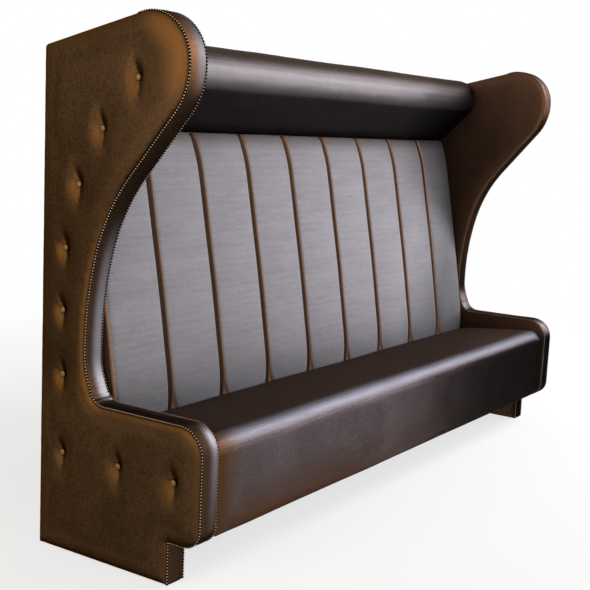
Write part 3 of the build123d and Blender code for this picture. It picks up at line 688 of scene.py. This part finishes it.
def dimple(v, k):
    """Depth of the soft hollow that button k pulls, with its pleats, at offsets v."""
    across, rise = v[:, 0], v[:, 1]
    r = np.linalg.norm(v, axis=1)
    a = np.arctan2(rise, across)
    tall = np.where(rise > 0, DIMPLE_UP, DIMPLE_DOWN)
    wide = np.where(across > 0, DIMPLE_FRONT, DIMPLE_BACK)
    spread = 1 / np.sqrt((np.cos(a) / wide) ** 2 + (np.sin(a) / tall) ** 2)
    depth = DIMPLE_DEEP * np.exp(-(np.maximum(r - DIMPLE_FLOOR_R, 0) / spread) ** 1.15)
    for way, deep, half_angle, long in PLEATS:
        off = np.angle(np.exp(1j * (a - way - 0.06 * math.sin(3 * k + way))))
        depth += deep * bell(off, half_angle) * bell(r, long) * smooth(0.008, 0.016, r)
    return depth


def puff(points, buttons, seed, rises):
    """How far a padded face stands out from its seam plane."""
    d = edge_distance(points)
    h = face_rise(d, rises) + seam_marks(d)
    p3 = np.column_stack([points, np.zeros(len(points))])
    h += 0.0008 * waves(seed, 10, 0.14, 0.40)(p3) * smooth(0.01, 0.08, d)
    h += 0.00025 * waves(seed + 1, 12, 0.025, 0.06)(p3) * np.exp(-d / 0.03)
    for k, centre in enumerate(buttons):
        h -= dimple(points - np.array(centre), k)
    low = points[:, 1] < FLOOR_Z + 0.002
    h[low] = np.minimum(h[low], FACE_PUFF)
    return h


def face_pad(side, outer, seed):
    """The padded cover on one face of a side panel, turned in all round its seam."""
    name = f"{LABELS[side]}_{'outer' if outer else 'inner'}"
    buttons = BUTTON_PLACES if outer else []
    count = len(OUTLINE)
    edges = [(i, (i + 1) % count) for i in range(count)]
    verts2, _, faces, *_ = delaunay_2d_cdt(
        [Vector(p) for p in face_points(buttons)], edges, [], 1, 1e-6)
    flat = np.array([tuple(v) for v in verts2])
    h = puff(flat, buttons, seed, OUTER_RISES if outer else INNER_RISES)
    way = 1 if outer else -1
    seam = SEAM_X if outer else SEAM_X - PANEL_T
    verts = [world(side * (seam + way * up), reach, z) for (reach, z), up in zip(flat, h)]
    order = {}
    for i in np.flatnonzero(edge_distance(flat) < 1e-7):
        order.setdefault(int(np.argmin(((OUTLINE - flat[i]) ** 2).sum(1))), int(i))
    rim = [order[j] for j in sorted(order)]
    base, n = len(verts), len(rim)
    verts += [(side * (seam - way * COVER_T * 0.9), *verts[i][1:]) for i in rim]
    for k in range(n):
        faces.append((rim[k], rim[(k + 1) % n], base + (k + 1) % n, base + k))
    faces.append(tuple(base + k for k in range(n)))
    piece(f"{name}_padding", verts, faces, PANEL_SKIN if outer else INNER_SKIN,
          "panel_leatherette", [f"{name}_face_pad"], fill=0.85)


def path_frames(points):
    """Unit tangents and outward normals of an open path that runs clockwise."""
    t = unit_rows(np.gradient(points, axis=0))
    return t, np.stack([-t[:, 1], t[:, 0]], 1)


def lengths_along(points):
    return np.concatenate([[0], np.cumsum(np.linalg.norm(np.diff(points, axis=0), axis=1))])


TOP_CORNER = (BAND_START, REAR_H + BAND_START * TAN_TOP, 0)
FRONT_PATH, FRONT_BEND = rounded([TOP_CORNER] + PANEL_CORNERS[2:11], 0.006, 0.0045, closed=False)
REAR_PATH, _ = rounded(
    [(0, FLOOR_Z, 0), (0, REAR_H, 0.011), TOP_CORNER], 0.012, 0.003, closed=False)
FOOT_PATH = np.array([(FOOT_REACH, z) for z in np.linspace(ARM_UNDER_Z, FLOOR_Z, 26)])
# Places across a band, closer together at the seams and stitches
FROM_SEAM = np.array([0, 0.0011, 0.0022, 0.0036, 0.0048, 0.0060, 0.0080, 0.0115, 0.017, 0.025])
ACROSS = np.concatenate([FROM_SEAM - HALF_T, [0.0], (HALF_T - FROM_SEAM)[::-1]])
PULL_PITCH, PULL_HIGH = 0.021, 0.00018
GATHER_PITCH, GATHER_HIGH = 0.0150, 0.0020
TIGHT_BEND = 1 / 0.10  # the bands gather where they turn into a hollow tighter than this


def band_height(crown, along, seed, pucker):
    """Height of a band over its seam line, at each place across it."""
    edge = HALF_T - np.abs(ACROSS)
    h = crown * (1 - (np.abs(ACROSS) / HALF_T) ** 2) + seam_marks(edge)
    # small pull marks between the stitches, and gathers round the tight valley
    h = h + PULL_HIGH * np.sin(along * 2 * math.pi / PULL_PITCH + seed) * np.exp(-edge / 0.010)
    gather = np.sin(along * 2 * math.pi / GATHER_PITCH + 1.3 * np.sin(along * 110 + seed))
    return h + pucker * GATHER_HIGH * gather * np.exp(-edge / 0.022)


def band(side, place_name, path, crowns, puckers, seed, skin):
    """A padded band along an edge of a side panel, between its two seams."""
    _, n = path_frames(path)
    along = lengths_along(path)
    mid = side * (SEAM_X - HALF_T)
    rings = []
    for i, p in enumerate(path):
        ring = []
        for off, up in zip(ACROSS, band_height(crowns[i], along[i], seed, puckers[i])):
            ring.append(world(mid + off, *(p + n[i] * up)))
        for off in (HALF_T * 0.98, -HALF_T * 0.98):
            ring.append(world(mid + off, *(p - n[i] * COVER_T * 0.8)))
        rings.append(ring)
    name = f"{LABELS[side]}_{place_name}_band"
    piece(f"{name}_skin", *tube(rings), skin, "panel_leatherette", [name], fill=0.7)


CAPSULE_SIDES = 6
CAPSULE_RINGS = (-0.72, 0.0, 0.72)  # as shares of the half length


def capsule(centre, way, up, long, wide, high):
    """A short rounded thread lying along way, standing out along up."""
    way, up = Vector(way).normalized(), Vector(up).normalized()
    across = way.cross(up)
    sides = CAPSULE_SIDES
    verts = [centre - way * long / 2]
    for t in CAPSULE_RINGS:
        r = math.sqrt(1 - t * t)
        for k in range(sides):
            a = 2 * math.pi * k / sides
            verts.append(centre + way * t * long / 2 + across * math.cos(a) * wide / 2
                         * r + up * math.sin(a) * high / 2 * r)
    verts.append(centre + way * long / 2)
    last, end = 1 + sides * (len(CAPSULE_RINGS) - 1), len(verts) - 1
    faces = [(0, 1 + (k + 1) % sides, 1 + k) for k in range(sides)]
    for a in range(1, last, sides):
        b = a + sides
        faces += [(a + k, a + (k + 1) % sides, b + (k + 1) % sides, b + k) for k in range(sides)]
    faces += [(end, last + k, last + (k + 1) % sides) for k in range(sides)]
    return verts, faces


def gather_meshes(items):
    verts, faces = [], []
    for v, f in items:
        base = len(verts)
        verts += v
        faces += [tuple(base + i for i in face) for face in f]
    return verts, faces


STITCH_PITCH = 0.0094
STITCH_SIZE = (0.0036, 0.0036, 0.0034)  # length along the seam, width and height
# size of the dark marks between stitches: painted shade of the seam's crease over the needle holes
HOLE_SIZE = (0.0070, 0.0076, 0.0024)
STITCH_UP = 0.0010
STITCH_SLANT = 0.10


def stitch_row(side, path, outer, seed):
    """The stitches of one seam of a side panel, and dark marks between them, for the
    needle holes and the painted shade of the seam's crease. The inner seam's stitches
    lie on the band, just off the seam."""
    t, n = path_frames(path)
    along = lengths_along(path)
    rng = np.random.default_rng(seed)
    threads, holes = [], []
    count = 2 * int(along[-1] / STITCH_PITCH)
    x = side * (SEAM_X if outer else SEAM_X - PANEL_T + 0.0022)
    outward = side * (1.0 if outer else 0.30)
    up = STITCH_UP + (0.0 if outer else 0.0009)
    for k in range(count):
        at = (k + 0.5) * along[-1] / count
        p, tan, nor = (np.array([np.interp(at, along, rows[:, c]) for c in (0, 1)])
                       for rows in (path, t, n))
        normal = Vector((outward, -nor[0], nor[1])).normalized()
        way = Vector((0, -tan[0], tan[1])).normalized()
        centre = Vector(world(x, *p)) + normal * up
        if k % 2:
            holes.append(capsule(centre, way, normal, *HOLE_SIZE))
        else:
            slant = way + way.cross(normal) * float(rng.normal() * STITCH_SLANT)
            threads.append(capsule(centre, slant, normal, *STITCH_SIZE))
    return threads, holes


BUTTON_X = SEAM_X + 0.0032
# radius and height of the rings of a covered button, from its foot to its crown
BUTTON_PROFILE = (
    (0.0104, 0.0), (0.0108, 0.0012), (0.0107, 0.0024), (0.0099, 0.0036),
    (0.0085, 0.0047), (0.0064, 0.0057), (0.0040, 0.0063), (0.0016, 0.0066))
BUTTON_SIDES = 32
BUTTON_FOLDS = 8


def button(side, reach, z, seed):
    """A covered button: a low dome with its cover gathered under the rim."""
    rings = []
    for r, up in BUTTON_PROFILE:
        ring = []
        for k in range(BUTTON_SIDES):
            a = 2 * math.pi * k / BUTTON_SIDES
            fold = 1 + 0.018 * math.sin(BUTTON_FOLDS * a + seed) * smooth(0.006, 0.0105, r)
            ring.append(world(side * (BUTTON_X + up), reach + r * fold * math.cos(a),
                              z + r * fold * math.sin(a)))
        rings.append(ring)
    return tube(rings)


def side_panel(side, seed):
    """The covers, stitches and buttons of one side panel."""
    label = LABELS[side]
    face_pad(side, True, seed)
    face_pad(side, False, seed + 3)
    along = lengths_along(FRONT_PATH)
    crown = BAND_CROWN * spline(along / along[-1], CROWN_SHARES[:, 0], CROWN_SHARES[:, 1])
    kernel = np.hanning(15)
    tight = np.convolve(np.where(FRONT_BEND > TIGHT_BEND, 1.0, 0.0), kernel / kernel.sum(), "same")
    band(side, "front", FRONT_PATH, crown, tight, seed, BAND_SKIN)
    crown = EDGE_BAND_CROWN * smooth(REAR_H, REAR_H + 0.06, lengths_along(REAR_PATH))
    band(side, "edge", REAR_PATH, crown, 0 * crown, seed, PANEL_SKIN)
    level = np.zeros(len(FOOT_PATH))
    band(side, "foot", FOOT_PATH, level + 0.003, level, seed, BAND_SKIN)
    threads, holes = [], []
    for k, path in enumerate((FRONT_PATH, FOOT_PATH)):
        for sign in (1, -1):
            a, b = stitch_row(side, path, sign > 0, seed + 10 * k + sign)
            threads += a
            holes += b
    piece(f"{label}_seam_stitches", *gather_meshes(threads), THREAD, "panel_leatherette")
    piece(f"{label}_needle_holes", *gather_meshes(holes), HOLE_SHADE, "panel_leatherette")
    domes = [button(side, reach, z, k) for k, (reach, z) in enumerate(BUTTON_PLACES)]
    piece(f"{label}_covered_buttons", *gather_meshes(domes), BUTTON_SKIN,
          "panel_leatherette", [f"{label}_panel_buttons"])


# Seat and head roll
COVER_HALF = INNER_X - 0.0012  # from the middle of the bench to a cover's end
COVER_STEP = 0.012
FROM_END = np.array([0, 0.0008, 0.002, 0.004, 0.0065, 0.009, 0.012, 0.016, 0.022, 0.030, 0.040])
# places along X from one end to the other, closer together at the ends
STATIONS = np.concatenate([
    FROM_END - COVER_HALF,
    np.arange(0.055 - COVER_HALF, COVER_HALF - 0.055 + 1e-9, COVER_STEP),
    (COVER_HALF - FROM_END)[::-1]])
CUSHION_T = 0.084
CUSHION_CROWN, CUSHION_FRONT_CROWN = 0.0045, 0.0035
ROLL_REACH = 0.216
TAN_ROLL_TOP = math.tan(math.radians(14))


def seat_top(reach):
    return 0.417 + (reach - PAD_LOW_REACH) * TAN_PITCH


def lengthwise(name, node, corners, end_r, shape, skin, fill):
    """A long upholstered form: one rounded clockwise section run along X and drawn in
    at its ends."""
    section, _ = rounded(corners, 0.014, 0.006)
    tangent = loop_tangents(section)
    outward = np.stack([-tangent[:, 1], tangent[:, 0]], 1)
    rings = []
    for x in STATIONS:
        a = COVER_HALF - abs(x)
        draw = end_r - math.sqrt(max(end_r ** 2 - max(end_r - a, 0) ** 2, 0))
        at = np.column_stack([np.full(len(section), x), section])
        move = shape(at, outward, a) - draw
        rings.append([world(x, r, z) for r, z in section + outward * move[:, None]])
    piece(name, *tube(rings), skin, "seat_leatherette", [node], fill=fill)


def cushion_shape(p, outward, a):
    """How far the seat's cover stands out of its plain section: crowned on top and in
    front, softly waved, and gathered and drawn in at its ends."""
    x, reach, z = p.T
    top_z = seat_top(SEAT_REACH)
    top = smooth(0.3, 0.9, outward[:, 1])
    front = smooth(0.3, 0.9, outward[:, 0]) * (z < top_z + 0.01)
    u = np.clip((reach - CUSHION_REAR) / (SEAT_REACH - CUSHION_REAR), 0, 1)
    v = np.clip((z - SEAT_UNDER_Z) / (top_z - SEAT_UNDER_Z), 0, 1)
    move = CUSHION_CROWN * top * (1 - (2 * u - 1) ** 4)
    move += CUSHION_FRONT_CROWN * front * (1 - (2 * v - 1) ** 4)
    show = np.maximum(top, smooth(0.2, 0.8, outward[:, 0]))
    move += show * 0.0011 * waves(5, 9, 0.35, 0.9)(p)
    move += show * 0.00016 * waves(6, 12, 0.06, 0.16)(p)
    move += show * 0.0012 * np.exp(-a / 0.035) * np.sin((reach + z) * 2 * math.pi / 0.034 + 2 * x)
    move -= show * 0.008 * np.exp(-a / 0.040)
    return move


def roll_shape(p, outward, a):
    """How far the head roll's cover stands out of its plain section: softly waved,
    drawn in at its ends, and dented at the seam in the middle of the bench."""
    x, reach, _ = p.T
    show = smooth(-0.4, 0.3, outward[:, 0]) * (reach > 0.03)
    move = show * 0.0012 * waves(15, 9, 0.25, 0.8)(p)
    move += show * 0.0003 * waves(16, 12, 0.05, 0.14)(p)
    move += show * 0.0006 * np.exp(-a / 0.03) * np.sin(
        np.arctan2(outward[:, 1], outward[:, 0]) * 16 + 3 * x)
    move -= show * 0.003 * np.exp(-a / 0.030)
    move -= show * 0.0012 * bell(x, 0.0022)
    return move


def seat_and_roll():
    lengthwise("seat_cushion_cover", "seat_cushion", [
        (CUSHION_REAR, seat_top(CUSHION_REAR), 0.010),
        (SEAT_REACH, seat_top(SEAT_REACH), 0.058),
        (SEAT_REACH, SEAT_UNDER_Z, 0.008),
        (DECK_FRONT, SEAT_UNDER_Z, 0),
        (DECK_FRONT, seat_top(DECK_FRONT) - CUSHION_T, 0),
        (CUSHION_REAR, seat_top(CUSHION_REAR) - CUSHION_T, 0),
    ], 0.012, cushion_shape, SEAT_SKIN, 0.8)
    lengthwise("head_roll_cover", "head_roll", [
        (0.0, TOP_BOARD_TOP_Z, 0),
        (0.0, 1.581, 0.006),
        (ROLL_REACH, 1.590 + ROLL_REACH * TAN_ROLL_TOP, 0.088),
        (ROLL_REACH, BACK_TOP_Z + 0.165, 0.076),
        (0.068, BACK_TOP_Z + 0.018, 0.140),
        (BOARD_TOP, BACK_TOP_Z + 0.001, 0),
        (BOARD_TOP, TOP_BOARD_TOP_Z, 0),
    ], 0.014, roll_shape, ROLL_SKIN, 0.85)


# Back
# share of the pads' height, share of their low reach there, and how far each groove
# opens to either side as a share of its width
SECTIONS = np.array([
    (0.0, 1.0, 0.0), (0.133, 0.993, 0.0), (0.301, 0.884, 0.0), (0.469, 0.760, 0.0),
    (0.709, 0.560, 0.0), (0.811, 0.475, 0.0), (0.902, 0.386, 0.0),
    (0.954, 0.308, 0.02), (0.982, 0.260, 0.05), (0.993, 0.232, 0.10),
    (1.0, 0.205, 0.16)])
GROOVE_W = 0.026
PAD_CROWN = 0.005
LEVELS = np.concatenate([np.linspace(0, 0.9, 76)[:-1], np.linspace(0.9, 1.0, 28)])
LEVEL_Z = BACK_LOW_Z + LEVELS * (BACK_TOP_Z - BACK_LOW_Z)
LEVEL_FRONT = PAD_LOW_REACH * spline(LEVELS, SECTIONS[:, 0], SECTIONS[:, 1])
LEVEL_DRAW = GROOVE_W * spline(LEVELS, SECTIONS[:, 0], SECTIONS[:, 2])
LEVEL_BOARD = BOARD_LOW - (LEVEL_Z - BACK_LOW_Z) * (BOARD_LOW - BOARD_TOP) / (
    BACK_TOP_Z - BACK_LOW_Z)
SHOULDER_STEPS = 8
BOXED_STEPS = 6  # of the left shoulder's steps, that the leatherette boxing covers
FRONT_STEPS = 24
WALL_GAP = 0.0008  # between an end pad and the side panel beside it
END_SHOULDER_R, LEFT_SHOULDER_R, RIGHT_SHOULDER_R = 0.034, 0.012, 0.006
# The pads narrow towards the seat, mostly on their left: how much and over what height
LEFT_DRAW, LEFT_DRAW_HIGH = 0.018, 0.022
RIGHT_DRAW, RIGHT_DRAW_HIGH = 0.003, 0.03


def drawn(z, most, high):
    """How far a pad is drawn in at a height, most at the seat."""
    return most * math.exp(-max(z - SEAT_BACK_Z, 0) / high)


def shoulder(edge, radius, front, way):
    """A quarter round from a pad's side at edge to its front; way is 1 to go right."""
    angles = [math.pi / 2 * k / SHOULDER_STEPS for k in range(SHOULDER_STEPS + 1)]
    return [(edge + way * radius * (1 - math.cos(t)),
             front - radius + radius * math.sin(t)) for t in angles]


def channel(i):
    """One upright pad, tight over its foam. Its cloth front turns sharply into the
    groove on its right and is joined to a rounded boxing of leatherette on its left."""
    first, last = i == 0, i == PAD_COUNT - 1
    left_in = WALL_GAP if first else GROOVE_W / 2 - 0.001
    right_in = WALL_GAP if last else GROOVE_W / 2 - 0.0045
    left_r = END_SHOULDER_R if first else LEFT_SHOULDER_R
    right_r = END_SHOULDER_R if last else RIGHT_SHOULDER_R
    soft = waves(100 + i, 8, 0.10, 0.40)
    fine = waves(200 + i, 10, 0.03, 0.08)
    rings = []
    for z, front, board, draw in zip(LEVEL_Z, LEVEL_FRONT, LEVEL_BOARD, LEVEL_DRAW):
        depth = front - board
        crown = PAD_CROWN * min(1, depth / (PAD_LOW_REACH * 0.125))
        left_draw = 0.0 if first else draw + drawn(z, LEFT_DRAW, LEFT_DRAW_HIGH)
        right_draw = 0.0 if last else draw + drawn(z, RIGHT_DRAW, RIGHT_DRAW_HIGH)
        a = -INNER_X + i * PAD_PITCH + left_in + left_draw
        b = -INNER_X + (i + 1) * PAD_PITCH - right_in - right_draw
        ra, rb = min(left_r, 0.6 * depth), min(right_r, 0.6 * depth)
        ring = [(a + 0.0006, board), (a, board + (depth - ra) * 0.5)]
        ring += shoulder(a, ra, front, 1)
        ring += [(x, front) for x in np.linspace(a + ra, b - rb, FRONT_STEPS)[1:-1]]
        ring += shoulder(b, rb, front, -1)[::-1]
        ring += [(b, board + (depth - rb) * 0.5), (b - 0.0006, board)]
        x, reach = np.array(ring).T
        share = np.maximum(0.0, 1 - ((x - (a + b) / 2) / ((b - a) / 2)) ** 2)
        reach = reach + crown * share ** 0.9 * smooth(board + depth * 0.5, front, reach)
        p = np.column_stack([x, reach, np.full(len(x), z)])
        live = smooth(0.0, 0.02, np.minimum(x - a, b - x))
        p[:, 1] += live * (0.0006 * soft(p) + 0.00018 * fine(p))
        rings.append([world(*q) for q in p])
    obj = piece(f"back_channel_{i + 1}_cover", *tube(rings), CHANNEL_CLOTH,
                "channel_fabric", [f"back_channel_{i + 1}"], fill=0.8)
    obj.data.materials.append(STRIP_SKIN)
    for face in obj.data.polygons:
        columns = {v % len(rings[0]) for v in face.vertices}
        low, high = min(columns), max(columns)
        if len(columns) == 2 and high - low == 1 and low < 2 + BOXED_STEPS:
            face.material_index = 1


STRIP_SINK = 0.0055  # below the pads' front
STRIP_DISH = 0.0120  # lower still at its left side
STRIP_UNDER = 0.0036  # further under the pad on its right
STRIP_COLUMNS = 9


def strip(i):
    """The recessed strip of leatherette in one groove."""
    mid = -INNER_X + i * PAD_PITCH
    ripple = waves(300 + i, 8, 0.04, 0.15)
    rings = []
    for z, front, board, draw in zip(LEVEL_Z, LEVEL_FRONT, LEVEL_BOARD, LEVEL_DRAW):
        face = max(front - STRIP_SINK, board + 0.001)
        left = GROOVE_W / 2 - 0.0002 + draw
        right = left + STRIP_UNDER + drawn(z, 0.017, LEFT_DRAW_HIGH)
        ring = [(mid - left, board)]
        for x in np.linspace(-left, right, STRIP_COLUMNS):
            u = (2 * x - (right - left)) / (right + left)
            ring.append((mid + x, max(face - STRIP_DISH * ((1 - u) / 2) ** 2, board + 0.0008)))
        ring.append((mid + right, board))
        p = np.array([(x, r, z) for x, r in ring])
        p[1:-1, 1] += 0.0003 * ripple(p[1:-1])
        rings.append([world(*q) for q in p])
    piece(f"back_strip_{i}_cover", *tube(rings), STRIP_SKIN, "strip_leatherette",
          [f"back_strip_{i}"], fill=0.3)


# Dust cover
CLOTH_Z, CLOTH_T, CLOTH_SAG = 0.1593, 0.0008, 0.0030
CLOTH_COLUMNS, CLOTH_ROWS, CLOTH_BAYS = 180, 46, 5


def dust_cover():
    """The black cloth stapled under the seat box, slightly slack between bearers."""
    sag = waves(77, 8, 0.12, 0.5)
    verts = []
    for j in range(CLOTH_ROWS + 1):
        v = j / CLOTH_ROWS
        for i in range(CLOTH_COLUMNS + 1):
            u = i / CLOTH_COLUMNS
            x, reach = -INNER_X + 2 * INNER_X * u, DECK_FRONT * v
            bay = abs(math.sin(math.pi * CLOTH_BAYS * u)) * math.sin(math.pi * v)
            drop = CLOTH_SAG - 0.0004 * float(sag([(x, reach, 0)])[0])
            verts.append(world(x, reach, CLOTH_Z - drop * bay))
    row = CLOTH_COLUMNS + 1
    faces = [(a, a + 1, a + row + 1, a + row) for j in range(CLOTH_ROWS)
             for a in range(j * row, j * row + CLOTH_COLUMNS)]
    obj = piece("seat_dust_cover_cloth", verts, faces, DUST_CLOTH, "dust_cloth",
                ["seat_dust_cover"])
    solid = obj.modifiers.new("thickness", "SOLIDIFY")
    solid.thickness, solid.offset = CLOTH_T, 0


def cad_looks():
    """Boards, screws and glides keep their solids and get their own materials."""
    looks = {"rear_board": HARDBOARD, "floor_glides": PLASTIC}
    for name, obj in frame["nodes"].items():
        if obj.hide_render:
            continue
        steel = "bolts" in name or "inserts" in name
        skin = STEEL if steel else looks.get(name, PLYWOOD)
        obj.data.materials.clear()
        obj.data.materials.append(skin)


# Camera and light
CAMERA_AT = (-3.7042, -2.1957, 1.3571)
YAW, PITCH, ROLL = (math.radians(a) for a in (56.26, 8.67, 2.73))
SENSOR_MM, LENS_MM = 36.0, 67.15
AMBIENT = 0.30
FLOOR_HALF = 40.0
# name, place, aim, width, height, watts and colour
LAMPS = [
    ("window_right", (6.0, -2.2, 1.75), (-0.6, -0.1, 0.9), 2.2, 2.4, 230,
     (0.90, 0.93, 1.0)),
    ("high_right", (3.6, -2.4, 3.6), (0.0, -0.1, 1.0), 2.4, 1.6, 230,
     (0.97, 0.95, 1.0)),
    ("warm_left", (-5.2, 0.60, 1.45), (-1.3, -0.1, 0.8), 1.4, 1.6, 90,
     (1.0, 0.80, 0.50)),
    ("front_soft", (-1.6, -5.4, 3.6), (0.0, 0.0, 0.9), 3.0, 2.0, 90, WHITE),
]


def camera():
    look = Vector((math.sin(YAW) * math.cos(PITCH), math.cos(YAW) * math.cos(PITCH),
                   -math.sin(PITCH)))
    right = Vector((math.cos(YAW), -math.sin(YAW), 0))
    up = right.cross(look)
    rolled_right = math.cos(ROLL) * right + math.sin(ROLL) * up
    rolled_up = -math.sin(ROLL) * right + math.cos(ROLL) * up
    data = bpy.data.cameras.new("camera")
    data.sensor_width, data.lens = SENSOR_MM, LENS_MM
    data.clip_end = 200.0
    cam = link(bpy.data.objects.new("camera", data))
    m = Matrix((rolled_right, rolled_up, -look)).transposed().to_4x4()
    m.translation = Vector(CAMERA_AT)
    cam.matrix_world = m
    bpy.context.scene.camera = cam


def seen(tree):
    """1 for rays from the camera and for reflected or refracted rays, else 0."""
    path = add("LightPath", tree=tree).outputs
    total = plus(*(path[f"Is {kind} Ray"] for kind in ("Camera", "Glossy", "Transmission")))
    return maths("MINIMUM", total, 1.0)


def lamp(name, at, to, size, size_y, watts, colour):
    data = bpy.data.lights.new(name, "AREA")
    data.shape, data.size, data.size_y = "RECTANGLE", size, size_y
    data.energy, data.color = watts, colour
    obj = link(bpy.data.objects.new(name, data))
    obj.location = at
    obj.rotation_euler = (Vector(to) - Vector(at)).to_track_quat("-Z", "Y").to_euler()


def sky():
    """A white background, and dimmer white light on the object."""
    studio = bpy.data.worlds.new("studio")
    bpy.context.scene.world = studio
    studio.use_nodes = True
    studio.node_tree.nodes.clear()
    strength = plus(times(seen(studio.node_tree), 1 - AMBIENT), AMBIENT)
    back = add("Background", {"Color": (*WHITE, 1), "Strength": strength})
    add("OutputWorld", {0: back.outputs[0]})


def pale_floor(at):
    """Pale where it takes the bench's shadow, and plain white further out."""
    tree = at.id_data
    pale = add("BsdfDiffuse", {"Color": (0.80, 0.80, 0.80, 1)}, tree=tree)
    white = add("Emission", {"Color": (*WHITE, 1), "Strength": 1.0}, tree=tree)
    away = add("VectorMath", {0: at}, operation="LENGTH").outputs["Value"]
    share = times(seen(tree), ramp(away, 1.6, 4.0, 0.72, 1.0))
    return add("MixShader", {0: share, 1: pale.outputs[0], 2: white.outputs[0]})


def floor():
    mesh = bpy.data.meshes.new("floor")
    r = FLOOR_HALF
    mesh.from_pydata([(-r, -r, 0), (r, -r, 0), (r, r, 0), (-r, r, 0)], [], [(0, 1, 2, 3)])
    mesh.materials.append(material("floor_pale", pale_floor))
    link(bpy.data.objects.new("floor", mesh))


camera()
side_panel(-1, 11)
side_panel(1, 47)
seat_and_roll()
for i in range(PAD_COUNT):
    channel(i)
for i in range(1, PAD_COUNT):
    strip(i)
dust_cover()
cad_looks()
sky()
floor()
for row in LAMPS:
    lamp(*row)
bpy.context.scene.view_settings.view_transform = "Standard"
